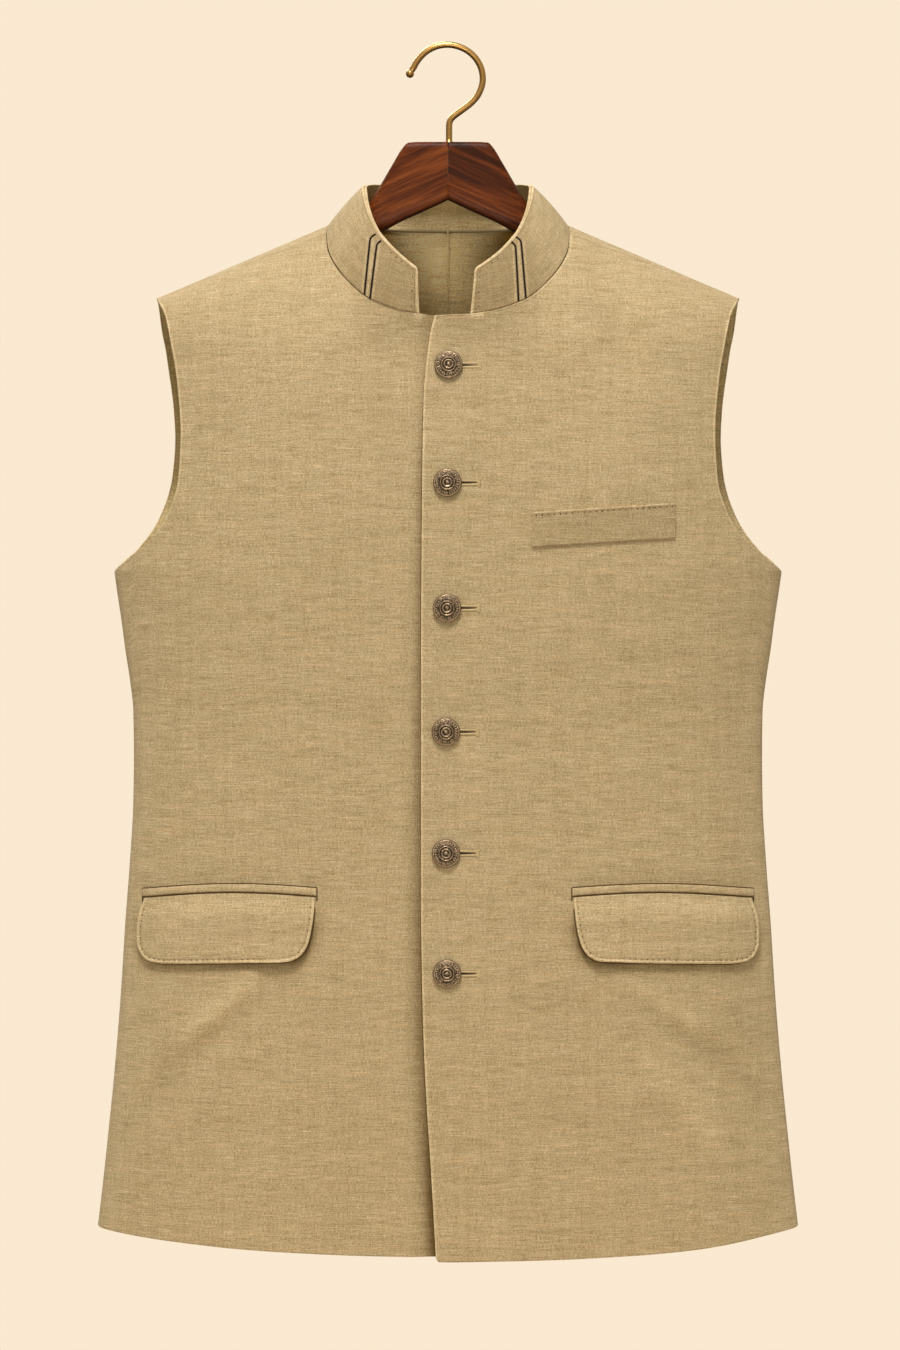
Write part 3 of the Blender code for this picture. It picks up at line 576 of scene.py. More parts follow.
def bodyY(side, x, z):
    # depth of the cloth's outer face at a point of the front view
    depth = smoothThrough(body["depthZ"], body[side], z)
    share = np.clip(1 - (np.abs(x) / halfWidth(z)) ** body["power"], 0, 1)
    out = np.clip((np.abs(x) - body["roundX"]) / (body["tipX"] - body["roundX"]), 0, 1)
    reach = body["neckRound"] + (body["tipRound"] - body["neckRound"]) * out
    fall = np.clip((ridgeZ(x) - z) / reach, 0, 1)
    cap = (1 - (1 - fall) ** 2) ** (0.7 - 0.2 * out)
    total = np.zeros(np.broadcast(x, z).shape)
    for start, end, width, height in creases[side]:
        total = total + height * alongLine(x, z, start, end, width)
    for number, (height, cell) in enumerate(ripples):
        total = total + height * cap * softNoise(x, z, cell, 11 + number + (5 if side == "back" else 0))
    y = depth * np.sqrt(share) * cap + total * smoothstep((halfWidth(z) - np.abs(x)) / body["foldsFade"])
    return -y if side == "front" else y


def frontEdgeX(z):
    return smoothThrough(body["edgeZ"], body["edgeX"], z)


def hemHeight(x, upper):
    z = smoothThrough(body["hemX"], body["hemZ"], np.abs(x))
    if not upper:
        return z
    corner = body["hemCorner"]
    inner = np.clip(corner - (x - body["edgeX"][-1]), 0, corner)
    reach, over = body["dropFades"]
    drop = body["upperDrop"] * smoothstep((reach - np.abs(x)) / over)
    return z - drop + corner - np.sqrt(corner**2 - inner**2)


def onFront(x, z, lift):
    # points of the front's face at x and z, moved out by lift, and the directions out of it
    x, z = np.broadcast_arrays(np.asarray(x, float), np.asarray(z, float))
    dx = bodyY("front", x + 0.5, z) - bodyY("front", x - 0.5, z)
    dz = bodyY("front", x, z + 0.5) - bodyY("front", x, z - 0.5)
    out = np.stack([dx, -np.ones_like(dx), dz], axis=-1)
    out = out / np.linalg.norm(out, axis=-1, keepdims=True)
    face = np.stack([x, bodyY("front", x, z), z], axis=-1)
    return face + out * np.asarray(lift)[..., None], out


def clothLengths(side, cell=2.0):
    # lengths along the cloth, across and up, on a grid of the front view
    low, high = body["mapZ"]
    x, z = np.meshgrid(np.arange(0, body["mapX"], cell), np.arange(low, high, cell), indexing="ij")
    y = bodyY(side, x, z)
    across, up = np.hypot(np.diff(y, axis=0), cell), np.hypot(np.diff(y, axis=1), cell)
    across = np.vstack([np.zeros((1, x.shape[1])), np.cumsum(across, axis=0)])
    up = np.hstack([np.zeros((x.shape[0], 1)), np.cumsum(up, axis=1)])

    def read(atX, atZ):
        a = np.clip(np.abs(atX) / cell, 0, x.shape[0] - 1.001)
        b = np.clip((atZ - low) / cell, 0, x.shape[1] - 1.001)
        i, j = a.astype(int), b.astype(int)
        s, t = a - i, b - j
        found = []
        for table in (across, up):
            first = table[i, j] * (1 - s) + table[i + 1, j] * s
            second = table[i, j + 1] * (1 - s) + table[i + 1, j + 1] * s
            found.append(first * (1 - t) + second * t)
        return np.stack([found[0] * np.sign(atX), found[1]], axis=-1)

    return read


flatOf = {side: clothLengths(side) for side in ("front", "back")}


def gridNormals(grid):
    normal = np.cross(np.gradient(grid, axis=0), np.gradient(grid, axis=1))
    return normal / np.maximum(np.linalg.norm(normal, axis=2, keepdims=True), 1e-9)


def setValues(data, name, values):
    # one number for each point of a mesh, which a material reads by name
    values = np.asarray(values, np.float32).ravel()
    data.attributes.new(name, "FLOAT", "POINT").data.foreach_set("value", values)


def addPiece(name, data, material, nodes=()):
    thing = bpy.data.objects.new(name, data)
    scene.collection.objects.link(thing)
    data.materials.clear()
    data.materials.append(material)
    data.shade_smooth()
    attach(thing, "root")
    if nodes:
        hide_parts(*nodes)
    return thing


def shell(name, outer, inner, flat, rounding, nodes=(), worn=0.0, paintedLightInside=0.0):
    # a closed wall between two grids of points, with its cloth map in metres and rounded edges;
    # worn and paintedLightInside paint light and shade into the cloth of its two faces
    rows, columns = outer.shape[:2]
    index = np.arange(rows * columns).reshape(rows, columns)
    quad = np.stack([index[:-1, :-1], index[1:, :-1], index[1:, 1:], index[:-1, 1:]], axis=-1)
    quad = quad.reshape(-1, 4)
    loop = np.concatenate([index[0, :-1], index[:-1, -1], index[-1, :0:-1], index[:0:-1, 0]])
    outer, inner = outer.reshape(-1, 3).copy(), inner.reshape(-1, 3).copy()
    run = np.roll(outer[loop], -1, axis=0) - np.roll(outer[loop], 1, axis=0)
    out = np.cross(run, outer[loop] - inner[loop])
    out /= np.linalg.norm(out, axis=1, keepdims=True)
    if np.sum(out * (outer[loop] - outer.mean(axis=0))) < 0:
        out = -out
    outer[loop] -= out * rounding
    inner[loop] -= out * rounding
    middle, half = (outer[loop] + inner[loop]) / 2, (outer[loop] - inner[loop]) / 2
    turns = np.pi * np.arange(1, 5) / 5
    rings = [middle + half * math.cos(a) + out * rounding * math.sin(a) for a in turns]
    second, third, size = rows * columns, 2 * rows * columns, len(loop)
    chain = [loop] + [third + i * size + np.arange(size) for i in range(len(turns))] + [loop + second]
    rim = [np.column_stack([p, np.roll(p, -1), np.roll(q, -1), q]) for p, q in zip(chain, chain[1:])]
    faces = np.vstack([quad, quad[:, ::-1] + second] + rim)
    points = np.vstack([outer, inner] + rings) * mm
    data = bpy.data.meshes.new(name)
    data.from_pydata(points.tolist(), [], faces.tolist())
    tint, deep = (np.broadcast_to(part, (rows, columns)).ravel() for part in (worn, paintedLightInside))
    edge, far = tint[loop], deep[loop]
    setValues(data, "worn", np.concatenate([tint, deep, edge, edge, (edge + far) / 2, far]))
    layer = data.uv_layers.new(name="cloth")
    corners = np.empty(len(data.loops), int)
    data.loops.foreach_get("vertex_index", corners)
    flat = flat.reshape(-1, 2)
    both = np.vstack([flat, flat] + [flat[loop]] * len(turns)) * mm
    layer.data.foreach_set("uv", both[corners].ravel())
    inside = np.zeros(len(faces), np.int32)
    inside[len(quad): 2 * len(quad)] = 1
    mesh = bmesh.new()
    mesh.from_mesh(data)
    bmesh.ops.recalc_face_normals(mesh, faces=mesh.faces)
    mesh.to_mesh(data)
    mesh.free()
    piece = addPiece(name, data, cloth, nodes)
    data.materials.append(paintedLitInsideCloth)
    data.polygons.foreach_set("material_index", inside)
    return piece


# The stand collar from its front end round to the centre back: lower edge, then upper edge.
collar = {
    "low": (
        (19.4, -55.0, -201.0), (37.5, -53.5, -197.5), (54.4, -50.0, -190.8), (63.0, -47.0, -185.6),
        (72.0, -42.0, -177.0), (80.9, -33.5, -166.2), (88.0, -21.5, -152.3), (90.0, -9.0, -138.0),
        (88.5, 0.5, -130.8), (81.0, 18.0, -129.2), (64.0, 34.5, -129.4), (34.0, 45.0, -130.8),
        (0.0, 48.0, -131.2),
    ),
    "high": (
        (22.3, -48.5, -168.2), (30.0, -45.5, -162.0), (38.2, -41.0, -154.5), (46.4, -35.5, -145.6),
        (51.6, -30.0, -138.5), (58.0, -22.0, -124.8), (61.7, -12.0, -112.0), (63.0, 0.0, -104.0),
        (63.0, 9.0, -100.4), (58.5, 22.0, -98.6), (46.0, 33.5, -98.0), (25.0, 42.0, -96.8),
        (0.0, 45.0, -96.4),
    ),
    "endShift": {("low", -1): 2.3, ("low", 1): 2.3, ("high", -1): 0.2, ("high", 1): 2.3},
    "layer": 1.5, "lift": 0.45, "bulge": 1.2, "corner": 1.9, "rounding": 0.5, "above": 1.5, "beside": 0.8,
    # the stations where the ring meets the shoulder seam, the ridge and the centre back
    "neckStation": 7, "ridgeStation": 8, "backStation": 12,
    "length": 345.0, "endLength": 50.0, "endCells": (1.1, 0.7, 0.6), "endCell": 0.6, "cell": 1.5,
    "height": 36.0, "riseFirst": (1.0, 0.7), "riseCell": 0.9,
    "riseLast": (1.1, 0.5, 0.45, 0.45, 0.45, 0.45, 0.5, 0.6, 0.8), "middle": (0.0, -4.0, -135.0),
    # rolled edge and a second sunken line; painted light and shade of the rim, its stitches, towards the
    # front ends, the foot and beside the piping, then of the lining's face and of its hidden side
    "sewn": (0.9, 2.2, 0.34, 0.34), "secondLine": (4.6, 0.6, 0.12), "rim": (1.5, 0.80),
    "stitches": (0.5, 0.25), "round": (100, 60, 0.42), "foot": (130, 0.08), "piped": (-0.3, 0.55, 0.75),
    "lining": 0.70, "behind": (0.20, 0.95, 0.08, 0.4),
    # where it lies on the cloth; the cut's width and length and its area, in metres
    "map": (400, 1300), "cut": (0.37, 0.042), "area": 0.0147,
}


def collarEdge(which, sign):
    points = np.array(collar[which], float)
    points[:, 0] *= sign
    shift = collar["endShift"][which, sign]
    points[0, 0] -= shift
    points[1, 0] -= shift * 0.4
    return points


def neckRing(sign, first, last, count):
    # the neckline between two of the collar's stations
    points = collarEdge("low", sign)[min(first, last): max(first, last) + 1]
    if first > last:
        points = points[::-1]
    return curveThrough(points, np.linspace(0, 1, count))


# Shares of the height of the rows below the underarm, close together at the hem.
hemShares = steps(484.0, (), body["hemCells"], 6.0) / 484.0


def closerAtEnds(t):
    return 0.58 * smoothstep(t) + 0.42 * t


def roll(away, rim, line, rimHeight, lineDepth):
    # relief by distance from a sewn edge: a rolled rim, then the sunken line of its stitches
    return rimHeight * bell(away - rim, rim * 0.6) - lineDepth * bell(away - line, 0.7)


def downTo(bottom, top, side, count):
    # heights of a panel's inner rows, even at first and then as the rows below the underarm
    turn = body["turnZ"][side]
    return np.concatenate([np.linspace(top, turn, count), turn + (bottom - turn) * hemShares[1:]])


def frontInner(sign, upper):
    # down a front's inner side: its neck, the rows from there to its edge, and the edge
    k = body["rowsPerStep"]
    neck = neckRing(sign, collar["neckStation"], 0, 7 * k + 1)
    ringRows = len(neck)
    if not upper:
        x, z = body["edgeX"][0] - 1, body["underCornerZ"]
        corner = np.array((x, float(bodyY("front", x, z)), z))
        neck = np.vstack([neck, np.linspace(neck[-1], corner, k + 1)[1:]])
    bottom = body["hemZ"][0] - (body["upperDrop"] if upper else 0)
    z = downTo(bottom, body["upperTopZ"] if upper else body["underTopZ"], "front", 8 * k + 1)
    x = frontEdgeX(z) if upper else np.full(len(z), body["underEdge"])
    edge = np.column_stack([x, z])
    bridge = np.linspace(neck[-1, [0, 2]], edge[0], k + 1)[1:-1]
    return neck, ringRows, np.vstack([neck[:, [0, 2]], bridge, edge])


def backInner(sign):
    # down a back's inner side: its neck and the centre seam
    k, ridge = body["rowsPerStep"], collar["ridgeStation"]
    over = neckRing(sign, collar["neckStation"], ridge, 2 * k + 1)
    neck = np.vstack([over, neckRing(sign, ridge, collar["backStation"], 5 * k + 1)[1:]])
    neck[-1, 0] = sign * body["seam"] / 2
    z = downTo(body["hemZ"][0], body["backTopZ"], "back", 10 * k + 1)
    z = z[1:]
    edge = np.column_stack([np.full(len(z), sign * body["seam"] / 2), z])
    return neck, len(neck), np.vstack([neck[:, [0, 2]], edge])


def panelEnds(side, sign, upper):
    # the inner and outer end of each row of a panel, how far its inner end is drawn to the collar's
    # ring, and the number of its underarm row
    k = body["rowsPerStep"]
    tip = np.array((sign * body["tipX"], ridgeZ(body["tipX"]) - 1.0))
    if side == "front":
        neck, ringRows, inner = frontInner(sign, upper)
        start = tip[None]
    else:
        neck, ringRows, inner = backInner(sign)
        ridgeTip = np.array((sign * (body["tipX"] + 0.4), ridgeZ(body["tipX"] + 0.4)))
        middle = (tip + ridgeTip) / 2 + (0, 0.2)
        start = np.vstack([np.linspace(tip, middle, k + 1), np.linspace(middle, ridgeTip, k + 1)[1:]])
    hole = np.column_stack([sign * np.array(body[side + "HoleX"]), body[side + "HoleZ"]])
    last = len(inner) - len(hemShares)
    path = np.vstack([start[-1], hole, (sign * body["underarm"][0], body["underarm"][1])])
    down = curveThrough(path, closerAtEnds(np.linspace(0, 1, last - len(start) + 2)))[1:]
    z = body["underarm"][1] + (body["hemZ"][-1] - body["underarm"][1]) * hemShares[1:]
    outer = np.vstack([start, down, np.column_stack([sign * halfWidth(z), z])])
    rows = np.arange(ringRows)
    toRing = neck[:ringRows, 1] - surfaceY(side, rows, neck[:ringRows, 0], neck[:ringRows, 2])
    drawn = np.zeros(len(inner))
    drawn[:ringRows] = toRing
    drawn[ringRows: ringRows + 3 * k] = toRing[-1] * smoothstep(1 - np.arange(1, 3 * k + 1) / (3 * k))
    return inner, outer, drawn, last


def surfaceY(side, row, x, z):
    # the back's first rows lie before the ridge, on the front's form
    if side == "front":
        return bodyY("front", x, z)
    before = np.asarray(row) <= 2 * body["rowsPerStep"]
    return np.where(before, bodyY("front", x, z), bodyY("back", x, z))


# The hip pockets: a flap whose corners are rounded, under a narrow jet; then the chest welt. "map" is
# where each lies on the cloth, "cut" its width and length in metres, "rolled" its rim, height and depth.
flap = {
    "topZ": -625.0, "height": 50.0, "width": 126.0, "shift": {-1: 0.0, 1: -5.2},
    "drop": (0, 12, 23, 34, 42, 45.5, 47.4, 48.2),
    "inner": (96.4, 97.2, 98.6, 101.0, 105.4, 110.0, 115.0, 122.5),
    "outer": (221.8, 225.4, 226.6, 226.2, 223.2, 219.4, 215.0, 207.5),
    "sag": 3.6, "tilt": (0.6, -1.6), "wall": 1.9, "lift": 1.9, "corner": 2.4, "stitchIn": 2.7, "gap": 0.7,
    "rolled": (1.05, 0.50, 0.50), "swell": (2.0, 12, 0.45), "cells": (1.8, 2.4),
    "map": (60, 900), "cut": (0.132, 0.051), "area": 0.0064,
}
jet = {
    "inner": 95.4, "outer": 223.5, "rise": 5.5, "wall": 1.5, "over": 0.5, "height": 7.0, "width": 127.0,
    "crown": 0.45, "cells": (0.7, 2.4), "map": (80, 1000), "cut": (0.13, 0.0105), "area": 0.0012,
}
welt = {
    "inner": 61.6, "outer": 165.4, "top": (-345.6, -338.4), "bottom": (-371.0, -364.0), "wall": 1.5,
    "stitchIn": 2.4, "height": 26.0, "width": 104.0, "slant": 1.2, "tone": -0.17,
    "rolled": (0.9, 0.25, 0.22), "cells": (1.6, 2.2),
    "map": (0, 1200), "cut": (0.108, 0.030), "area": 0.0028,
}
# Cells of a patch from its edge inwards.
patchCells = {
    "flap": (1.1, 0.6, 0.55, 0.55, 0.55, 0.6, 0.7, 0.9), "flapTop": (1.1, 1.2), "jet": (0.9, 0.6),
    "jetEnd": (1.2, 0.8, 0.9), "welt": (1.0, 0.6, 0.55, 0.55, 0.6, 0.8), "weltFoot": (1.0, 0.8),
    "weltEnd": (1.0, 0.7, 0.8, 1.0),
}
# Painted light and shade of the flap and welt: the rim, the sunken stitches, the flap's top and its lower
# half.
patchPaintedLight = {
    "flapRim": (2.1, 0.40), "flapStitches": (0.7, 0.16), "flapTop": (0.18, 0.16, 0.30),
    "flapLow": (0.55, 0.25, 0.10), "weltRim": (1.5, 0.34), "weltStitches": (1.0, 0.12), "jet": 0.10,
}


def awayFrom(x, z, line):
    # distance in the front view from an outline's points
    best = np.full(x.shape, 1e9)
    for (ax, az), (bx, bz) in zip(line, line[1:]):
        run = np.array((bx - ax, bz - az))
        t = np.clip(((x - ax) * run[0] + (z - az) * run[1]) / max(run @ run, 1e-9), 0, 1)
        best = np.minimum(best, np.hypot(x - ax - t * run[0], z - az - t * run[1]))
    return best


def flapLimits(sign, t):
    drop = flap["drop"][-1] * t
    inner = smoothThrough(flap["drop"], flap["inner"], drop) + flap["shift"][sign]
    return inner, smoothThrough(flap["drop"], flap["outer"], drop)


def flapTilt(share):
    return flap["tilt"][0] + (flap["tilt"][1] - flap["tilt"][0]) * share


def flapZ(t, share):
    top = flap["topZ"] - flap["gap"] * (1 - t) + flapTilt(share)
    return top + flap["sag"] * np.sin(np.pi * share) * (1 - t) - flap["drop"][-1] * t


def flapLift(t, share):
    # the lower edge stands off, most of all at the inner corner
    return body["gap"] + flap["lift"] * (1 - (1 - t) ** 2) + flap["corner"] * t**2 * bell(share, 0.2)


def flapOutline(sign, inset=0.0):
    # down the inner side, along the bottom and up the outer side
    t = np.linspace(0, 1, 40)
    inner, outer = flapLimits(sign, t)
    bottom = np.linspace(inner[-1], outer[-1], 30)[1:-1]
    x = np.concatenate([inner, bottom, outer[::-1]])
    z = np.concatenate([flapZ(t, 0), flapZ(1.0, np.linspace(0, 1, 30)[1:-1]), flapZ(t[::-1], 1)])
    run = np.gradient(np.column_stack([x, z]), axis=0)
    run /= np.linalg.norm(run, axis=1, keepdims=True)
    x, z = x - run[:, 1] * inset, z + run[:, 0] * inset
    return np.column_stack([sign * x, z])


# Painted light and shade on the fronts and backs, paler where positive: highlights on rolled rims and
# beside the side seams, shadows beside the flaps, above the jets, under the collar and beneath the upper
# front, and the light inside the back. Pairs are a half width and an amount, or where a fade begins and
# how far it goes; a spot is x, z, half width, half height and amount.
paintedLightTones = {
    "armholeRim": (1.5, 0.70), "frontEdgeRim": (1.6, 0.60), "besideSeam": 17, "seamFrom": (-386, 20),
    "besideFlap": ((7.5, 0.30), (3.4, 0.42)), "flapInward": (190, 100, 0.75, 0.5), "flapFrom": (6, 22),
    "aboveJet": (6.5, 4.5, 0.16), "jetFrom": (88, 12), "jetTo": (236, 10),
    "atNeck": (26, 0.26), "neckTo": (82, 30), "neckRim": (2.8, 0.75), "neckRimX": (-22, 26),
    "underNear": (2.6, 2.4), "underPaintedShade": (0.30, 0.2), "opening": ((-235, 110, 0.24), (-760, 90, 0.30)),
    "insideHole": (14, -372, 60), "insideTop": {-1: 0.12, 1: 0.62}, "besideSeamBy": {-1: 0.15, 1: 0.24},
    "insideSpots": ((-16, -154, 26, 20, 0.42), (-4, -146, 20, 20, 0.52), (30, -152, 13, 20, -0.62)),
    "insideCorners": (24, 26, -136, 18, 1.15), "insideDeep": ((-168, 30), (-350, 40), 0.72),
}
# Rolled and sewn edges: rim, line of stitches, height and depth.
sewnEdges = {"armhole": (0.9, 2.4, 0.22, 0.16), "front": (1.0, 2.6, 0.28, 0.20)}


def paintedInsideNeck(x, z):
    # painted light and shade inside the back neck: pale below the seam, darker at its corners and further
    # down
    tone = 0.0
    for atX, atZ, wide, tall, amount in paintedLightTones["insideSpots"]:
        tone = tone + amount * np.exp(-(((x - atX) / wide) ** 2) - ((z - atZ) / tall) ** 2)
    start, over, atZ, tall, amount = paintedLightTones["insideCorners"]
    tone = tone - amount * smoothstep((np.abs(x) - start) / over) * bell(z - atZ, tall)
    (top, over), (bottom, rise), amount = paintedLightTones["insideDeep"]
    return tone - amount * smoothstep((top - z) / over) * smoothstep((z - bottom) / rise)


def underStep(x, z):
    # how far past the upper edge, how far down the opening, and the width of the step beneath
    start, over = body["underFrom"]
    deep = smoothstep((start - z) / over)
    return x - frontEdgeX(z), deep, body["underWide"] + body["underWide"] * deep


def frontPaintedLight(sign, x, z):
    # painted shadow beside the flap, above its jet and at the neck, with a painted highlight on the rim at
    # the neck's end
    toFlap = awayFrom(x, z, flapOutline(sign)[::2])
    beside = sum(amount * bell(toFlap, width) for width, amount in paintedLightTones["besideFlap"])
    start, over, least, more = paintedLightTones["flapInward"]
    beside = beside * (least + more * smoothstep((start - np.abs(x)) / over))
    below, over = paintedLightTones["flapFrom"]
    tone = -beside * smoothstep((flap["topZ"] - below - z) / over)
    above, tall, amount = paintedLightTones["aboveJet"]
    (start, over), (end, past) = paintedLightTones["jetFrom"], paintedLightTones["jetTo"]
    band = bell(z - flap["topZ"] - jet["rise"] - above, tall) * smoothstep((np.abs(x) - start) / over)
    tone = tone - amount * band * smoothstep((end - np.abs(x)) / past)
    toNeck = awayFrom(x, z, neckRing(sign, collar["neckStation"], 0, 30)[:, [0, 2]])
    (width, amount), (end, over) = paintedLightTones["atNeck"], paintedLightTones["neckTo"]
    tone = tone - amount * bell(toNeck, width) * smoothstep((end - np.abs(x)) / over)
    (width, amount), (start, end) = paintedLightTones["neckRim"], paintedLightTones["neckRimX"]
    return tone + amount * bell(np.hypot(toNeck, np.clip(start - x, 0, None)), width) * (np.abs(x) < end)


def underPaintedShadow(x, z):
    # painted shadow where the under front goes in beneath the upper one
    past, deep, wide = underStep(x, z)
    (near, nearLow), (dark, darkLow) = paintedLightTones["underNear"], paintedLightTones["underPaintedShade"]
    near = past / (near + nearLow * deep)
    narrow = sum(amount * smoothstep((start - z) / over) for start, over, amount in paintedLightTones["opening"])
    tone = -(dark + darkLow * deep) * smoothstep((past + wide - 3) / (wide - 2))
    return tone - narrow * np.where(near < 0, bell(near, 1.0), 1.0)


def panelShares(inner, outer, under):
    # where a panel's columns stand, as shares of each row from its inner end to its outer one
    fine = body["fineCells"]
    if not under:
        places = steps(body["panelWidth"], fine, fine, body["cell"])
        return np.broadcast_to(places / body["panelWidth"], (len(inner), len(places)))
    # the under front's cells come first beneath the upper edge and just past it, then to the side
    width, nominal = np.abs(outer[:, 0] - inner[:, 0])[:, None], body["underWidth"]
    hidden = np.maximum(4.0, inner[:, 0] - frontEdgeX(inner[:, 1]))[:, None] + body["hiddenPast"]
    near = steps(1.0, (0.05,), (), 0.05)[None] * hidden
    rest = steps(1.0, (), tuple(cell / nominal for cell in fine), body["cell"] / nominal)[None, 1:]
    return np.hstack([near / width, (hidden + (width - hidden) * rest) / width])


def seamNormals(grid, side, sign, last):
    # the way out of the cloth, turned along the seams so that neighbours meet there, and the grid's
    # ends moved half a seam apart
    normal = gridNormals(grid)
    outward = -1 if side == "front" else 1
    if normal[len(grid) // 2, 3, 1] * outward < 0:
        normal = -normal
    normal[last:, -1] = (sign, 0, 0)
    run = grid[0, -1] - grid[0, 0]
    run = run / np.linalg.norm(run)
    seamUp = np.array((0.0, 0.0, 1.0)) - run * run[2]
    normal[0] = seamUp / np.linalg.norm(seamUp)
    if side == "back":
        centre = slice(7 * body["rowsPerStep"], None)
        normal[centre, 0, 0] = 0
        normal[:, 0] /= np.linalg.norm(normal[:, 0], axis=1, keepdims=True)
    across = np.cross(run, normal[0, 0])
    grid[0] += across * (outward * np.sign(across[1])) * body["seam"] / 2
    grid[last:, -1, 1] = outward * body["seam"] / 2
    return normal


def makePanel(name, side, sign, node, upper=False):
    inner, outer, drawn, last = panelEnds(side, sign, upper)
    count = len(inner)
    width = np.abs(outer[:, 0] - inner[:, 0])[:, None]
    under = side == "front" and not upper
    share = panelShares(inner, outer, under)
    row = np.arange(count)[:, None]
    x = inner[:, :1] + (outer[:, :1] - inner[:, :1]) * share
    z = inner[:, 1:] + (outer[:, 1:] - inner[:, 1:]) * share
    low = np.clip((row - last) / (count - 1 - last), 0, 1) ** 1.5
    z = z + low * (hemHeight(x, upper) - (inner[-1, 1] + (outer[-1, 1] - inner[-1, 1]) * share))
    y = surfaceY(side, row, x, z) + drawn[:, None] * (1 - share) ** 3
    if under:
        past, deep, wide = underStep(x, z)
        y = y + (body["underStep"] + body["underStepLow"] * deep) * smoothstep((past + wide + 1) / wide)
    grid = np.stack([x, y, z], axis=-1)
    flat = flatOf[side](x, z) + sign * np.array(body["map"])
    toSide, toMiddle = (1 - share) * width, share * width
    armhole = smoothstep((last - row) / 8) * smoothstep(row / 6)  # its rows, clear of the seams
    relief = armhole * roll(toSide, *sewnEdges["armhole"])
    if upper:
        relief = relief + smoothstep((row - 10) / 10) * roll(toMiddle, *sewnEdges["front"])
    normal = seamNormals(grid, side, sign, last)

    # painted highlight on the armhole's rolled rim
    rim, amount = paintedLightTones["armholeRim"]
    tone = armhole * bell(toSide, rim, 4) * amount
    if side == "front":
        tone = tone + frontPaintedLight(sign, x, z)
    # painted light and shade along the folds and on the shoulders
    for start, end, across, amount in paintedShading[side]:
        tone = tone + amount * alongLine(x, z, start, end, across)
    if upper:
        # painted highlight on the upper front's rolled edge
        rim, amount = paintedLightTones["frontEdgeRim"]
        tone = tone + bell(toMiddle, rim, 4) * amount
    if under:
        tone = tone + underPaintedShadow(x, z)
    # painted light beside the side seams, where the sides turn away from the light
    start, over = paintedLightTones["seamFrom"]
    besideSeam = paintedLightTones["besideSeamBy"][sign] * smoothstep((start - z) / over)
    tone = tone + besideSeam * bell(toSide, paintedLightTones["besideSeam"])
    inside = 0.0
    # painted light and shade inside the back, in the strip seen through the armhole and at the neck
    if side == "back":
        across, bottom, rise = paintedLightTones["insideHole"]
        strip = paintedLightTones["insideTop"][sign] * smoothstep((z - bottom) / rise)
        inside = armhole * bell(toSide, across) * strip + paintedInsideNeck(x, z)
    face = grid + normal * np.broadcast_to(relief, x.shape)[..., None]
    piece = shell(name, face, grid - body["wall"] * normal, flat, body["rounding"], (node,), tone, inside)
    return piece


panels = {
    # name, side, sign, node, the cut's width and length, its area, whether it is the upper front
    "frontRight": ("front", -1, "front_right", (0.30, 0.77), 0.186, False),
    "frontLeft": ("front", 1, "front_left", (0.30, 0.77), 0.187, True),
    "backRight": ("back", -1, "back_right", (0.27, 0.79), 0.184, False),
    "backLeft": ("back", 1, "back_left", (0.27, 0.79), 0.184, False),
}
for name, (side, sign, node, size, area, upper) in panels.items():
    makePanel(name, side, sign, node, upper)
print("fronts and backs made")


def collarBand():
    # the band's grid, its directions out, and the distances along and up it
    rings = {}
    length, end = collar["length"], collar["endLength"]
    near = steps(end, collar["endCells"], (), collar["endCell"])  # close together out to the piped lines
    between = steps(length - 2 * end, (), (), collar["cell"])[1:-1] + end
    at = np.concatenate([near, between, length - near[::-1]]) / length
    for which in ("low", "high"):
        right, left = collarEdge(which, -1), collarEdge(which, 1)
        rings[which] = curveThrough(np.vstack([right, left[::-1][1:]]), at)
    rise = steps(collar["height"], collar["riseFirst"], collar["riseLast"], collar["riseCell"])[:, None]
    rise = rise / collar["height"]
    along = np.concatenate([[0], np.cumsum(np.linalg.norm(np.diff(rings["low"], axis=0), axis=1))])
    fromEnd = np.minimum(along, along[-1] - along)
    tall = np.linalg.norm(rings["high"] - rings["low"], axis=1)
    corner = collar["corner"]
    inset = np.clip(corner - fromEnd, 0, corner)
    full = 1 - (corner - np.sqrt(corner**2 - inset**2)) / tall
    rise = rise * full[None]
    up = rings["high"] - rings["low"]
    grid = rings["low"][None] + up[None] * rise[..., None]
    normal = gridNormals(grid)
    facing = np.sum(normal[..., :2] * (grid - collar["middle"])[..., :2], axis=-1)
    if facing.mean() < 0:
        normal = -normal
    grid = grid + normal * (collar["bulge"] * np.sin(np.pi * rise))[..., None]
    grid = grid + up[None] / tall[None, :, None] * collar["lift"]
    toTop = (full[None] - rise) * tall[None]
    away = np.minimum(toTop, np.broadcast_to(fromEnd[None], toTop.shape))
    flat = np.stack([np.broadcast_to(along[None], rise.shape), rise * tall[None]], axis=-1)
    return grid, normal, away, flat, rise


collarGrid, collarOut, collarAway, collarFlat, collarRise = collarBand()


# The piped lines of the collar: node, foot, head, and where the head's hook ends, in the front view.
# Beside each the cloth is raised or sunk: distance, half width, height.
piping = {
    "radius": 0.70, "lift": 0.16, "lead": 3.2,
    "beside": ((1.8, 0.8, 0.62), (-1.8, 0.9, 0.45), (0.0, 0.75, -0.40)),
    "lines": {
        "pipingRightOuter": ("piping_right_outer", (-60.8, -186.4), (-56.8, -142.6), (-53.0, -140.9)),
        "pipingRightInner": ("piping_right_inner", (-56.7, -189.6), (-51.9, -147.8), (-49.0, -146.2)),
        "pipingLeftInner": ("piping_left_inner", (51.4, -191.4), (49.4, -149.0), (46.4, -147.0)),
        "pipingLeftOuter": ("piping_left_outer", (56.7, -188.9), (53.4, -145.0), (49.9, -143.2)),
    },
}


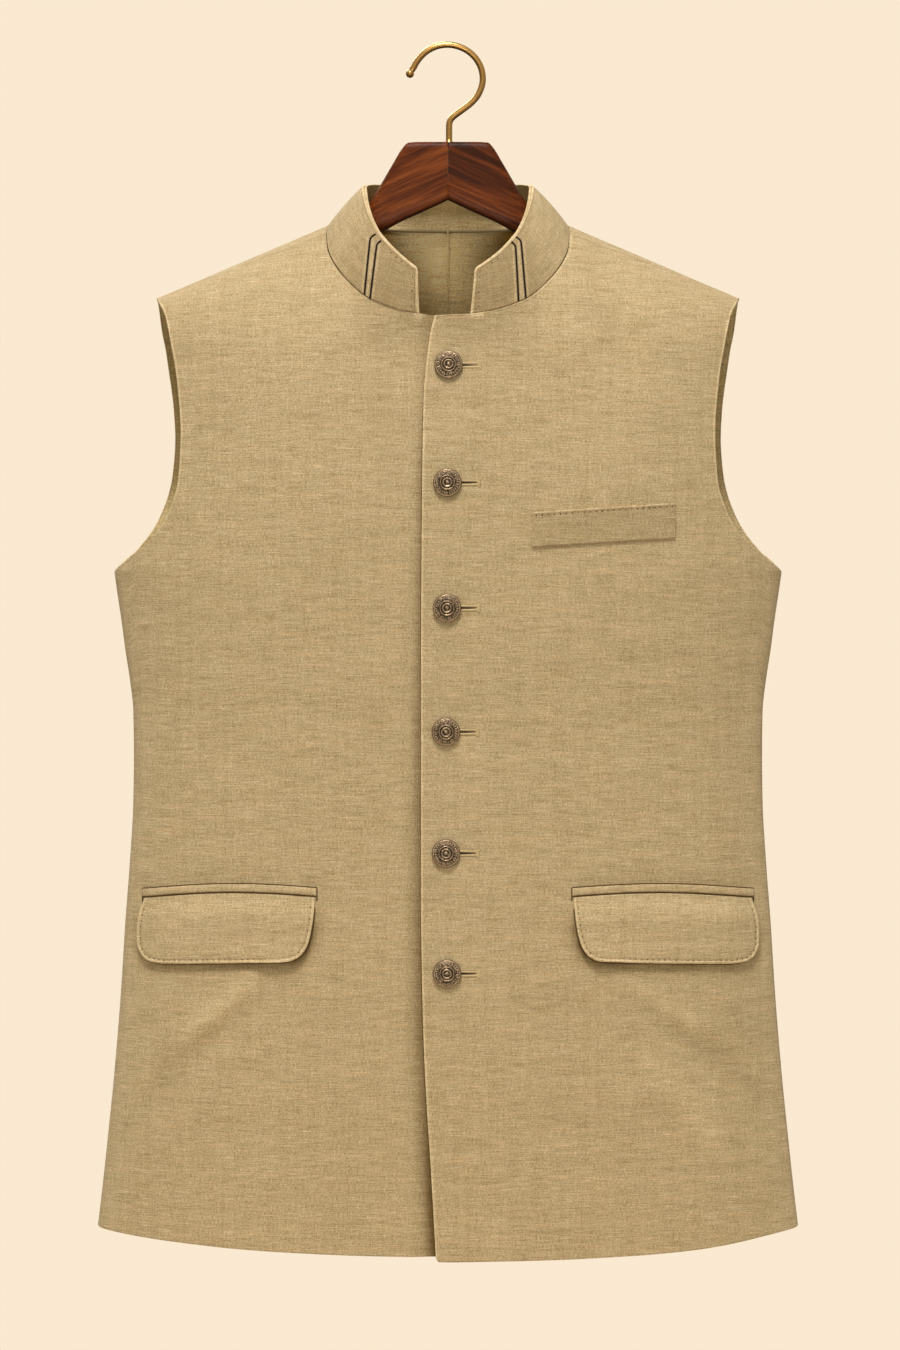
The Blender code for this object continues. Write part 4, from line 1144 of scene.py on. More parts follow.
def besidePiping():
    relief = np.zeros(collarAway.shape)
    x, z = collarGrid[..., 0], collarGrid[..., 2]
    for _, foot, head, _ in piping["lines"].values():
        run = np.subtract(head, foot)
        length = np.hypot(*run)
        t = ((x - foot[0]) * run[0] + (z - foot[1]) * run[1]) / length**2
        off = ((x - foot[0]) * run[1] - (z - foot[1]) * run[0]) / length * (-1 if foot[0] > 0 else 1)
        ends = smoothstep((1.02 - t) / 0.08) * (collarGrid[..., 1] < 5)
        for at, width, height in piping["beside"]:
            relief += ends * height * bell(off - at, width)
    return relief


def collarPaintedLight(relief, fromEnd):
    # painted highlights along the rim and beside the piping, painted shade on the stitches, towards the
    # front ends and at the foot
    (rim, pale), (line, dark) = collar["rim"], collar["stitches"]
    (start, over, amount), (end, foot) = collar["round"], collar["foot"]
    shade = amount * smoothstep((start - fromEnd) / over)[None]
    shade = shade + foot * (1 - collarRise) * (fromEnd < end)[None]
    low, high, piped = collar["piped"]
    tone = bell(collarAway, rim, 4) * pale - shade - dark * bell(collarAway - collar["sewn"][1], line)
    return tone + np.clip(relief, low, high) * piped


def makeCollar():
    relief = besidePiping()
    at, width, depth = collar["secondLine"]
    edge = roll(collarAway, *collar["sewn"]) - depth * bell(collarAway - at, width)
    outer = collarGrid + collarOut * (edge + relief)[..., None]
    wall = collar["layer"]
    lining = collarGrid - (wall + body["gap"]) * collarOut
    up = collarGrid[-1] - collarGrid[0]
    up = up / np.linalg.norm(up, axis=1, keepdims=True)
    lining = lining + up[None] * (collar["above"] * collarRise**4)[..., None]
    out = np.gradient(collarGrid, axis=1)
    out = out / np.linalg.norm(out, axis=2, keepdims=True)
    column = collarFlat[0, :, 0]
    past = np.clip(1 - (column[-1] - column) / 12, 0, 1) ** 2 - np.clip(1 - column / 12, 0, 1) ** 2
    lining = lining + out * (collar["beside"] * past)[None, :, None]
    tone = collarPaintedLight(relief, np.minimum(column, column[-1] - column))
    # painted shade on the lining's visible inner face, darker towards its top under the hanger
    pale, darker, start, over = collar["behind"]
    behind = pale - darker * smoothstep((collarRise - start) / over)
    pieces = (
        ("collarOuter", outer, collarGrid - wall * collarOut, "collar_outer", tone, 0.0),
        ("collarInner", lining, lining - wall * collarOut, "collar_inner", collar["lining"], behind),
    )
    for name, front, back, node, worn, inside in pieces:
        flat = collarFlat + collar["map"]
        piece = shell(name, front, back, flat, collar["rounding"], (node,), worn, inside)
    return outer


collarFace = makeCollar()


def onCollar(x, z, lift):
    # the collar's point seen from the front at x and z, moved out from its face, and the way out there
    before = collarFace[..., 1] < 5
    away = np.where(before, np.hypot(collarFace[..., 0] - x, collarFace[..., 2] - z), 1e9)
    r, c = np.unravel_index(np.argmin(away), away.shape)
    out = collarOut[r, c]
    slip = np.array((x - collarFace[r, c, 0], 0.0, z - collarFace[r, c, 2]))
    slip[1] = -(slip @ out) / out[1] if abs(out[1]) > 0.2 else 0.0
    return collarFace[r, c] + slip + out * lift, out


def tubeMesh(name, points, radius, sides=10, radii=None):
    # a round cord through points, in millimetres, closed at both ends
    points = np.asarray(points, float)
    along = np.gradient(points, axis=0)
    along /= np.linalg.norm(along, axis=1, keepdims=True)
    helper = np.array((0.0, 1.0, 0.0)) if abs(along[0, 1]) < 0.8 else np.array((1.0, 0.0, 0.0))
    mesh = bmesh.new()
    rings = []
    for i, (point, way) in enumerate(zip(points, along)):
        helper = helper - way * (helper @ way)
        helper = helper / np.linalg.norm(helper)
        side = np.cross(way, helper)
        size = radius if radii is None else radii[i]
        turn = [2 * math.pi * k / sides for k in range(sides)]
        ring = [point + size * (helper * math.cos(a) + side * math.sin(a)) for a in turn]
        rings.append([mesh.verts.new(Vector(p) * mm) for p in ring])
    for a, b in zip(rings, rings[1:]):
        for k in range(sides):
            mesh.faces.new((a[k], a[(k + 1) % sides], b[(k + 1) % sides], b[k]))
    for ring, end, way in ((rings[0], points[0], -along[0]), (rings[-1], points[-1], along[-1])):
        tipPoint = mesh.verts.new(Vector(end + way * radius * 0.5) * mm)
        for k in range(sides):
            mesh.faces.new((ring[k], ring[(k + 1) % sides], tipPoint))
    bmesh.ops.recalc_face_normals(mesh, faces=mesh.faces)
    data = bpy.data.meshes.new(name)
    mesh.to_mesh(data)
    mesh.free()
    return data


def makePiping():
    for name, (node, foot, head, end) in piping["lines"].items():
        foot, head, end = (np.array(p) for p in (foot, head, end))
        bend = head + (foot - head) / np.linalg.norm(foot - head) * piping["lead"]
        line = [foot + (bend - foot) * t for t in np.linspace(0, 1, 14)]
        for t in np.linspace(0, 1, 8)[1:]:  # the hooked head is a small arc
            line.append(bend * (1 - t) ** 2 + head * 2 * t * (1 - t) + end * t * t)
        points = [onCollar(p[0], p[1], piping["lift"])[0] for p in line]
        points = curveThrough(np.array(points)[::2], np.linspace(0, 1, 36))
        data = tubeMesh(name, points, piping["radius"])
        addPiece(name, data, threads["pipingCord"], (node,))


makePiping()

# Seams that show inside: the rounded one at the back neck, a dark cord under it as its painted shade, and
# the centre back's.
insideSeams = {
    "neckIn": 0.35,
    "neck": (("neckSeam", (0, -0.2, 1.1), 0.68, 10, "paleThread"),
             ("neckSeamShade", (0, 1.0, 0.35), 1.0, 8, "edgeThreadAndShade")),
    "backZ": (-130.0, -884.5), "backIn": 0.78, "backRadius": 0.62,
}


def makeNeckSeam():
    depth = 2 * collar["layer"] + body["gap"] + insideSeams["neckIn"]
    inside = collarGrid[0] - collarOut[0] * depth
    back = np.nonzero(inside[:, 1] > 6)[0]
    points = inside[back[0]: back[-1] + 1]
    for name, shift, radius, sides, thread in insideSeams["neck"]:
        line = curveThrough(points[::4] + shift, np.linspace(0, 1, 160))
        addPiece(name, tubeMesh(name, line, radius, sides), threads[thread])


def makeBackSeam():
    z = np.linspace(*insideSeams["backZ"], 160)
    points = np.column_stack([0 * z, bodyY("back", 0 * z, z) - body["wall"] + insideSeams["backIn"], z])
    data = tubeMesh("backSeam", points, insideSeams["backRadius"], 12)
    place = np.array([point.co[:] for point in data.vertices])
    corners = np.empty(len(data.loops), int)
    data.loops.foreach_get("vertex_index", corners)
    data.uv_layers.new(name="cloth").data.foreach_set("uv", place[corners][:, [0, 2]].ravel())
    # painted light and shade, as on the cloth inside the back neck
    setValues(data, "worn", paintedInsideNeck(place[:, 0] / mm, place[:, 2] / mm))
    addPiece("backSeam", data, paintedLitInsideCloth)


makeNeckSeam()
makeBackSeam()
print("collar and piping made")


def patchGrid(look, top, bottom, ends):
    # shares down and across a patch, its cells closer together at the edges
    down, across = look["cells"]
    t = steps(look["height"], patchCells[top], patchCells[bottom], down) / look["height"]
    share = steps(look["width"], patchCells[ends], patchCells[ends], across) / look["width"]
    return t[:, None], share[None]


def patchPiece(node, look, sign, x, z, lift, relief, tone):
    under, out = onFront(x, z, lift)
    grid = under + out * (look["wall"] + relief)[..., None]
    flat = flatOf["front"](x, z) + (look["map"][0] * sign, look["map"][1])
    piece = shell(node + "_cloth", grid, under, flat, 0.5, (node,), tone)


def sewnEdge(look, kind, away):
    # the relief of a patch by distance from its edge, and its painted highlight on the rim and painted
    # shade on the stitches
    rim, height, depth = look["rolled"]
    relief = roll(away, rim, look["stitchIn"], height, depth)
    (rim, pale), (line, dark) = patchPaintedLight[kind + "Rim"], patchPaintedLight[kind + "Stitches"]
    return relief, pale * bell(away, rim, 4) - dark * bell(away - look["stitchIn"], line)


def makeFlap(sign, label):
    t, share = patchGrid(flap, "flapTop", "flap", "flap")
    inner, outer = flapLimits(sign, t)
    x = sign * (inner + (outer - inner) * share)
    z = flapZ(t, share) + 0 * x
    away = awayFrom(x, z, flapOutline(sign))
    relief, tone = sewnEdge(flap, "flap", away)
    start, over, height = flap["swell"]
    relief = relief + height * smoothstep((away - start) / over)
    # painted highlights on the flap's top and its lower half
    (at, tall, pale), (start, over, low) = patchPaintedLight["flapTop"], patchPaintedLight["flapLow"]
    tone = tone + pale * bell(t - at, tall) + low * smoothstep((t - start) / over)
    patchPiece("flap_" + label, flap, sign, x, z, flapLift(t, share) + 0 * x, relief, tone)


def jetX(sign, share):
    inner = jet["inner"] + flap["shift"][sign]
    return inner + (jet["outer"] - inner) * share


def jetZ(share):
    # the jet's lower edge
    return flap["topZ"] + jet["over"] + flap["sag"] * np.sin(np.pi * share) + flapTilt(share)


def makeJet(sign, label):
    t, share = patchGrid(jet, "jet", "jet", "jetEnd")
    x = sign * jetX(sign, share) + 0 * t
    z = jetZ(share) + jet["rise"] * (1 - t)
    crown = jet["crown"] * np.sin(np.pi * t) + 0 * x
    patchPiece("flap_jet_" + label, jet, sign, x, z, body["gap"] + 0 * x, crown, patchPaintedLight["jet"])


def makeWelt():
    t, share = patchGrid(welt, "welt", "weltFoot", "weltEnd")
    left, right = (welt["top"][k] + (welt["bottom"][k] - welt["top"][k]) * t for k in (0, 1))
    slant = welt["slant"] * t
    x = (welt["inner"] - slant) + (welt["outer"] - welt["inner"] + slant) * share
    z = left + (right - left) * share
    relief, tone = sewnEdge(welt, "welt", welt["height"] * t + 0 * x)
    patchPiece("chest_welt", welt, 1, x, z, body["gap"] + 0 * x, relief, tone + welt["tone"])


bothSides = ((-1, "right"), (1, "left"))
for sign, label in bothSides:
    makeFlap(sign, label)
    makeJet(sign, label)

# Narrow dark cords that paint the shadow in crevices beside sewn edges: lift and radius, and for the jet
# how far it stands off and drops.
paintedShadowLines = {
    "jet": (0.15, 0.7, 0.5), "jetOff": (0.3, 0.4), "jetDrop": (4.0, 0.8), "jetLifts": (216, 8),
    "flapTop": (0.8, 0.5), "flapUnder": (0.6, 0.75), "flapPart": (0.04, 0.80), "flapOut": -0.15,
    "frontZ": (-240, -884.6), "front": (0.10, 0.27, 90), "frontLift": (-1.3, 0.5, -700, 120),
    "frontOff": 0.1,
}


def paintedShadowLine(name, x, z, lift, radius, radii=None):
    # a dark cord laid on the cloth as painted shadow
    points = onFront(x, z, lift)[0]
    addPiece(name, tubeMesh(name, points, radius, 6, radii), threads["paintedShadeCord"])


def jetLines():
    # painted shadow in the crevices above each jet and between it and its flap
    lift, more, radius = paintedShadowLines["jet"]
    (aside, over), (first, last) = paintedShadowLines["jetOff"], paintedShadowLines["jetDrop"]
    start, length = paintedShadowLines["jetLifts"]
    for sign, label in bothSides:
        share = np.linspace(0, 1, 60)
        top = jetZ(share) + jet["rise"]
        ends = jetX(sign, 0.0) - aside, jet["outer"] + aside
        x = np.concatenate([np.full(6, ends[0]), jetX(sign, share), np.full(6, ends[1])])
        drop = np.linspace(jet["rise"] + first, last, 6)
        z = np.concatenate([top[0] + aside - drop, top + over, top[-1] + aside - drop[::-1]])
        lifts = lift + more * smoothstep((x - start) / length)
        paintedShadowLine("jetSeam" + label.title(), sign * x, z, lifts, radius)
        share = np.linspace(0.005, 0.995, 60)
        z = flap["topZ"] - 0.1 + flap["sag"] * np.sin(np.pi * share) + flapTilt(share)
        lifts, size = paintedShadowLines["flapTop"]
        lifts = np.full(len(share), lifts)
        paintedShadowLine("flapSeam" + label.title(), sign * jetX(sign, share), z, lifts, size)


def flapShade():
    # painted shadow under each flap's lower edge and inner side
    lift, radius = paintedShadowLines["flapUnder"]
    for sign, label in bothSides:
        outline = flapOutline(sign, paintedShadowLines["flapOut"])
        line = curveThrough(outline, np.linspace(*paintedShadowLines["flapPart"], 120))
        paintedShadowLine("flapShade" + label.title(), line[:, 0], line[:, 1], np.full(len(line), lift), radius)


def frontPaintedShadow():
    # painted shadow beside the upper front's edge
    top, bottom = paintedShadowLines["frontZ"]
    z = np.linspace(top, bottom, 300)
    least, more, over = paintedShadowLines["front"]
    size = least + more * smoothstep((top - z) / over)
    lift, rise, start, length = paintedShadowLines["frontLift"]
    lifts = lift + rise * smoothstep((start - z) / length)
    paintedShadowLine("frontPaintedShadow", frontEdgeX(z) - paintedShadowLines["frontOff"], z, lifts, 0.55, size)


jetLines()
flapShade()
frontPaintedShadow()
makeWelt()
print("pockets made")

# Stitches. One tree lays small thread grains along a path; the path's attribute "facing" points out of
# the cloth. Sizes are in millimetres, and "Uneven" is a share of them.
stitch = {
    "pick": {"Spacing": 4.3, "Along": 1.05, "Across": 0.75, "Height": 1.0, "Uneven": 0.3},
    "collar": {"Spacing": 5.2, "Along": 1.15, "Across": 0.85, "Height": 0.7, "Uneven": 0.3},
    "edge": {"Spacing": 8.0, "Along": 1.2, "Across": 0.6, "Height": 0.4, "Uneven": 0.35},
    "lip": {"Spacing": 0.5, "Along": 0.62, "Across": 1.55, "Height": 1.1, "Uneven": 0.12},
    "bar": {"Spacing": 0.5, "Along": 0.62, "Across": 2.6, "Height": 1.3, "Uneven": 0.15},
}


def stitchNodes():
    tree = bpy.data.node_groups.new("grainsAlongPath", "GeometryNodeTree")
    face = tree.interface
    face.new_socket("Path", in_out="INPUT", socket_type="NodeSocketGeometry")
    for label in stitch["pick"]:
        face.new_socket(label, in_out="INPUT", socket_type="NodeSocketFloat")
    face.new_socket("Thread", in_out="INPUT", socket_type="NodeSocketMaterial")
    face.new_socket("Mesh", in_out="OUTPUT", socket_type="NodeSocketGeometry")
    wire = Wire(tree)
    given = wire.node("NodeGroupInput")
    line = wire.node("GeometryNodeMeshToCurve", None, {"Mesh": given.output("Path")})
    spaced = wire.node("GeometryNodeResampleCurve", {"mode": "LENGTH"},
                       {"Curve": line, "Length": given.output("Spacing")})
    run = wire.node("GeometryNodeInputTangent")
    facing = wire.node("GeometryNodeInputNamedAttribute", {"data_type": "FLOAT_VECTOR"},
                       {"Name": "facing"})
    turned = wire.node("FunctionNodeAlignRotationToVector", {"axis": "X"}, {"Vector": run})
    turned = wire.node("FunctionNodeAlignRotationToVector", {"axis": "Z", "pivot_axis": "X"},
                       {"Rotation": turned, "Vector": facing})
    uneven = given.output("Uneven")
    chance = wire.node("FunctionNodeRandomValue", {"data_type": "FLOAT"},
                       {2: 1 - uneven, 3: uneven + 1, "Seed": 4}, out=1)
    size = wire.node("ShaderNodeCombineXYZ", None, {"X": given.output("Along") * chance,
                                                    "Y": given.output("Across") * chance,
                                                    "Z": given.output("Height")})
    grain = wire.node("GeometryNodeMeshIcoSphere", None, {"Radius": 0.5, "Subdivisions": 2})
    placed = wire.node("GeometryNodeInstanceOnPoints", None,
                       {"Points": spaced, "Instance": grain, "Rotation": turned, "Scale": size})
    real = wire.node("GeometryNodeRealizeInstances", None, {"Geometry": placed})
    done = wire.node("GeometryNodeSetMaterial", None,
                     {"Geometry": real, "Material": given.output("Thread")})
    wire.node("NodeGroupOutput", None, {"Mesh": done})
    return tree


grainsAlongPath = stitchNodes()


def laidStitches(name, paths, kind, thread):
    # paths are lists of points and of directions out of the cloth, in millimetres
    points = np.vstack([p for p, _ in paths])
    outs = np.vstack([o for _, o in paths])
    edges, first = [], 0
    for path, _ in paths:
        edges += [(first + i, first + i + 1) for i in range(len(path) - 1)]
        first += len(path)
    data = bpy.data.meshes.new(name + "Path")
    data.from_pydata((points * mm).tolist(), edges, [])
    facing = data.attributes.new("facing", "FLOAT_VECTOR", "POINT")
    facing.data.foreach_set("vector", outs.ravel())
    holder = bpy.data.objects.new(name + "Path", data)
    scene.collection.objects.link(holder)
    maker = holder.modifiers.new("stitches", "NODES")
    maker.node_group = grainsAlongPath
    slots = grainsAlongPath.interface.items_tree
    for label, value in stitch[kind].items():
        maker[slots[label].identifier] = float(value if label == "Uneven" else value * mm)
    maker[slots["Thread"].identifier] = thread
    bpy.context.view_layer.update()
    made = bpy.data.meshes.new_from_object(holder.evaluated_get(bpy.context.evaluated_depsgraph_get()))
    bpy.data.objects.remove(holder)
    made.name = name
    return addPiece(name, made, thread, ())


# Where the rows of stitches run: how far they stand out of the cloth, and their ends.
stitchRows = {
    "flapLift": -0.25, "weltLift": 0.02, "weltIn": 2.5, "collarIn": 4.6, "collarFrom": 0.12,
    "collarTo": 34, "collarLift": 0.05, "frontZ": (-214, -878), "frontIn": 4.2, "frontLift": 0.02,
}


def pickStitches():
    paths = []
    for sign in (-1, 1):
        line = curveThrough(flapOutline(sign, flap["stitchIn"])[6:-6], np.linspace(0, 1, 160))
        drop = np.clip((flap["topZ"] - line[:, 1]) / flap["drop"][-1], 0, 1)
        share = np.clip((np.abs(line[:, 0]) - flap["inner"][0]) / flap["width"], 0, 1)
        lift = flapLift(drop, share) + flap["wall"] + stitchRows["flapLift"]
        paths.append(onFront(line[:, 0], line[:, 1], lift))
    x = np.linspace(welt["inner"] + stitchRows["weltIn"], welt["outer"] - stitchRows["weltIn"], 60)
    share = (x - welt["inner"]) / (welt["outer"] - welt["inner"])
    z = welt["top"][0] + (welt["top"][1] - welt["top"][0]) * share - welt["stitchIn"]
    lift = body["gap"] + welt["wall"] + stitchRows["weltLift"]
    paths.append(onFront(x, z, np.full(len(x), lift)))
    return paths


def collarStitches():
    # up each front end of the collar and then along its upper edge
    paths = []
    low, high = stitchRows["collarFrom"], stitchRows["collarIn"]
    rows, columns = collarFace.shape[:2]
    along = collarFlat[0, :, 0]
    for end in (0, 1):
        order = np.arange(columns) if end == 0 else np.arange(columns)[::-1]
        fromEnd = along if end == 0 else along[-1] - along
        up = order[np.argmin(np.abs(fromEnd[order] - high))]
        clear = (collarRise[:, up] > low) & (collarAway[:, up] > high - 0.3)
        column = [(r, up) for r in range(rows) if clear[r]]
        top = []
        for c in order:
            if high < fromEnd[c] < stitchRows["collarTo"]:
                scale = np.ptp(collarFlat[:, c, 1]) / max(np.ptp(collarRise[:, c]), 1e-6)
                inward = np.abs((collarRise[-1, c] - collarRise[:, c]) * scale - (high - 0.8))
                top.append((int(np.argmin(inward)), c))
        chain = column + top[1:]
        outs = np.array([collarOut[r, c] for r, c in chain])
        points = np.array([collarFace[r, c] for r, c in chain]) + outs * stitchRows["collarLift"]
        paths.append((points, outs))
    return paths


def frontEdgeStitches():
    z = np.linspace(*stitchRows["frontZ"], 220)
    return [onFront(frontEdgeX(z) + stitchRows["frontIn"], z, np.full(len(z), stitchRows["frontLift"]))]


laidStitches("pocketStitches", pickStitches(), "pick", threads["pickThreadAndShade"])
laidStitches("collarStitches", collarStitches(), "collar", threads["pickThreadAndShade"])
laidStitches("frontEdgeStitches", frontEdgeStitches(), "edge", threads["edgeThreadAndShade"])

# Buttons down the front edge, and their buttonholes.
button = {
    "z": (-238.6, -324.2, -415.0, -504.9, -593.0, -680.3), "x": (0.4, -0.4, -0.7, -1.4, -1.4, -0.7),
    "radius": 10.35, "height": 4.6, "fall": (0.62, 2.2), "lift": 0.3, "turn": 0.37, "turns": 96,
    # rings of the face: radius, half width, height
    "rings": ((0.0, 0.9, 0.45), (1.9, 0.5, -0.25), (3.1, 0.55, 0.42), (4.15, 0.4, -0.30),
              (5.1, 0.45, 0.40), (5.95, 0.35, -0.22), (9.55, 0.45, 0.34)),
    # its rim: shares of the radius, and how far each lies below the face
    "rimAt": (0.992, 1.0, 0.985), "rimDrop": (0.22, 0.75, 1.35), "face": 0.97, "backAt": 0.9, "rows": 76,
    "beads": 27, "beadRing": 7.65, "beadSize": (1.15, 2.7, 0.95), "beadLeast": (0.7, 0.55, 0.8),
    "beadMost": (1.2, 1.1, 1.2), "beadLean": 0.6,
    # hammered unevenness: height, cell and seed; it stops at a height and towards the rim
    "hammered": ((0.16, (1.3, 1.1), 41), (0.10, (0.6, 0.7), 42)), "hammeredFrom": 1.8,
    "hammeredTo": (10.2, 1.5), "polish": (0.42, 1.25),
}
hole = {
    "from": 9.6, "to": 20.9, "lip": 1.5, "lipLift": 0.12, "barWidth": 5.2, "barAt": 23.0, "barLift": 0.22,
    # the slit is a dark cord of painted shade inside the cut
    "slit": (0.80, 0.34), "slitReach": (1.0, 0.6), "slitLift": -0.15, "edge": 0.22,
    # the dark cords of painted shade beside the lips: height beside the hole, lift
    "beside": ((-2.55, 0.0), (2.45, -0.08)),
}


def domeHeight(r):
    share = np.clip(r / button["radius"], 0, 1)
    fall, power = button["fall"]
    return button["height"] * (1 - fall * share**power)


def faceRelief(r):
    return sum(height * bell(r - at, width) for at, width, height in button["rings"])


def buttonNodes():
    # the turned face comes in; beads are set round it
    tree = bpy.data.node_groups.new("beadedButton", "GeometryNodeTree")
    face = tree.interface
    sockets = {"Face": "Geometry", "Beads": "Int", "Ring": "Float", "Rise": "Float", "Size": "Vector",
               "Metal": "Material"}
    for label, kind in sockets.items():
        face.new_socket(label, in_out="INPUT", socket_type="NodeSocket" + kind)
    face.new_socket("Mesh", in_out="OUTPUT", socket_type="NodeSocketGeometry")
    wire = Wire(tree)
    given = wire.node("NodeGroupInput")
    ring = wire.node("GeometryNodeCurvePrimitiveCircle", {"mode": "RADIUS"},
                     {"Resolution": given.output("Beads"), "Radius": given.output("Ring")})
    lift = wire.node("ShaderNodeCombineXYZ", None, {"Z": given.output("Rise")})
    ring = wire.node("GeometryNodeSetPosition", None, {"Geometry": ring, "Offset": lift})
    run = wire.node("GeometryNodeInputTangent")
    turned = wire.node("FunctionNodeAlignRotationToVector", {"axis": "X"}, {"Vector": run})
    bead = wire.node("GeometryNodeMeshIcoSphere", None, {"Radius": 0.5, "Subdivisions": 2})
    size = wire.node("FunctionNodeRandomValue", {"data_type": "FLOAT_VECTOR"},
                     {0: button["beadLeast"], 1: button["beadMost"], "Seed": 3})
    size = wire.node("ShaderNodeVectorMath", {"operation": "MULTIPLY"},
                     {0: given.output("Size"), 1: size})
    lean = {2: -button["beadLean"], 3: button["beadLean"], "Seed": 8}
    lean = wire.node("FunctionNodeRandomValue", {"data_type": "FLOAT"}, lean, out=1)
    lean = wire.node("ShaderNodeCombineXYZ", None, {"Z": lean})
    turned = wire.node("FunctionNodeRotateRotation", {"rotation_space": "LOCAL"},
                       {"Rotation": turned, "Rotate By": lean})
    placed = wire.node("GeometryNodeInstanceOnPoints", None,
                       {"Points": ring, "Instance": bead, "Rotation": turned, "Scale": size})
    real = wire.node("GeometryNodeRealizeInstances", None, {"Geometry": placed})
    joined = wire.node("GeometryNodeJoinGeometry", None, {"Geometry": real})
    tree.links.new(given.output("Face").socket, joined.made.inputs[0])
    done = wire.node("GeometryNodeSetMaterial", None,
                     {"Geometry": joined, "Material": given.output("Metal")})
    wire.node("NodeGroupOutput", None, {"Mesh": done})
    return tree


def buttonMesh():
    radius, rim = button["radius"], button["rimDrop"]
    radii = np.concatenate([np.linspace(0, radius * button["face"], button["rows"]),
                            radius * np.array(button["rimAt"])])
    heights = domeHeight(radii) + faceRelief(radii)
    heights[-len(rim):] = heights[-len(rim) - 1] - np.array(rim)
    profile = list(zip(radii, heights)) + [(radius * button["backAt"], 0.0), (0.0, 0.0)]
    edges = [(i, i + 1) for i in range(len(profile) - 1)]
    data = bpy.data.meshes.new("buttonProfile")
    data.from_pydata([(r * mm, 0, h * mm) for r, h in profile], edges, [])
    holder = bpy.data.objects.new("buttonProfile", data)
    scene.collection.objects.link(holder)
    spin = holder.modifiers.new("spin", "SCREW")
    spin.steps = spin.render_steps = button["turns"]
    spin.use_merge_vertices = True
    spin.merge_threshold = 0.000005
    beads = holder.modifiers.new("beads", "NODES")
    beads.node_group = buttonNodes()
    slots = beads.node_group.interface.items_tree
    values = {"Beads": button["beads"], "Ring": button["beadRing"] * mm,
              "Rise": float(domeHeight(button["beadRing"])) * mm,
              "Size": [part * mm for part in button["beadSize"]], "Metal": bronze}
    for label, value in values.items():
        beads[slots[label].identifier] = value
    bpy.context.view_layer.update()
    made = bpy.data.meshes.new_from_object(holder.evaluated_get(bpy.context.evaluated_depsgraph_get()))
    bpy.data.objects.remove(holder)
    place = np.empty(len(made.vertices) * 3, np.float32)
    made.vertices.foreach_get("co", place)
    place = place.reshape(-1, 3) / mm
    away = np.hypot(place[:, 0], place[:, 1])
    dents = sum(height * softNoise(place[:, 0], place[:, 1], cell, seed)
                for height, cell, seed in button["hammered"])
    start, over = button["hammeredTo"]
    place[:, 2] += dents * (place[:, 2] > button["hammeredFrom"]) * smoothstep((start - away) / over)
    made.vertices.foreach_set("co", (place * mm).astype(np.float32).ravel())
    proud = place[:, 2] - domeHeight(away)
    middle, rise = button["polish"]
    setValues(made, "polish", np.clip(middle + proud * rise, 0, 1))
    return made


def makeButtons():
    pattern = buttonMesh()
    for number, (x, z) in enumerate(zip(button["x"], button["z"]), 1):
        point, out = onFront(x, z, body["gap"] + button["lift"])
        way = Vector(out).to_track_quat("Z", "Y").to_matrix().to_4x4()
        turn = Matrix.Rotation(button["turn"] * number, 4, "Z")
        data = pattern.copy()
        data.transform(Matrix.Translation(Vector(point) * mm) @ way @ turn)
        name = f"button_{number}_metal"
        data.name = name
        addPiece(name, data, bronze, (f"button_{number}",))


def makeButtonholes():
    lips, bars, slits, edges = [], [], [], []
    lip, count = hole["lip"], 24
    for x, z in zip(button["x"], button["z"]):
        run = np.linspace(hole["from"], hole["to"], count)
        arc = np.linspace(-np.pi / 2, np.pi / 2, 9)[1:-1]
        dx = np.concatenate([run, hole["to"] + lip * np.cos(arc), run[::-1]])
        dz = np.concatenate([np.full(count, -lip), lip * np.sin(arc), np.full(count, lip)])
        lips.append(onFront(x + dx, z + dz, np.full(len(dx), hole["lipLift"])))
        bar = np.linspace(-hole["barWidth"] / 2, hole["barWidth"] / 2, 8)
        bars.append(onFront(x + hole["barAt"] + 0 * bar, z + bar, np.full(len(bar), hole["barLift"])))
        for beside, lift in hole["beside"]:
            edges.append(onFront(x + run, z + 0 * run + beside, np.full(count, lift))[0])
        before, after = hole["slitReach"]
        run = np.linspace(hole["from"] - before, hole["to"] + after, 12)
        slits.append(onFront(x + run, z, np.full(12, hole["slitLift"]))[0])
    laidStitches("buttonholeThreads", lips, "lip", threads["buttonholeThread"])
    laidStitches("buttonholeBars", bars, "bar", threads["buttonholeThread"])
    # painted shade beside the lips
    for number, points in enumerate(edges, 1):
        name = f"buttonhole_{number}_edge"
        addPiece(name, tubeMesh(name, points, hole["edge"], 6), threads["edgeThreadAndShade"])
    # painted shade in each slit
    for number, points in enumerate(slits, 1):
        name = f"buttonhole_{number}_slit"
        width = np.linspace(*hole["slit"], 12)
        addPiece(name, tubeMesh(name, points, hole["slit"][0], 8, width), threads["slitPaintedShade"])


makeButtons()
makeButtonholes()
print("buttons, buttonholes and stitches made")

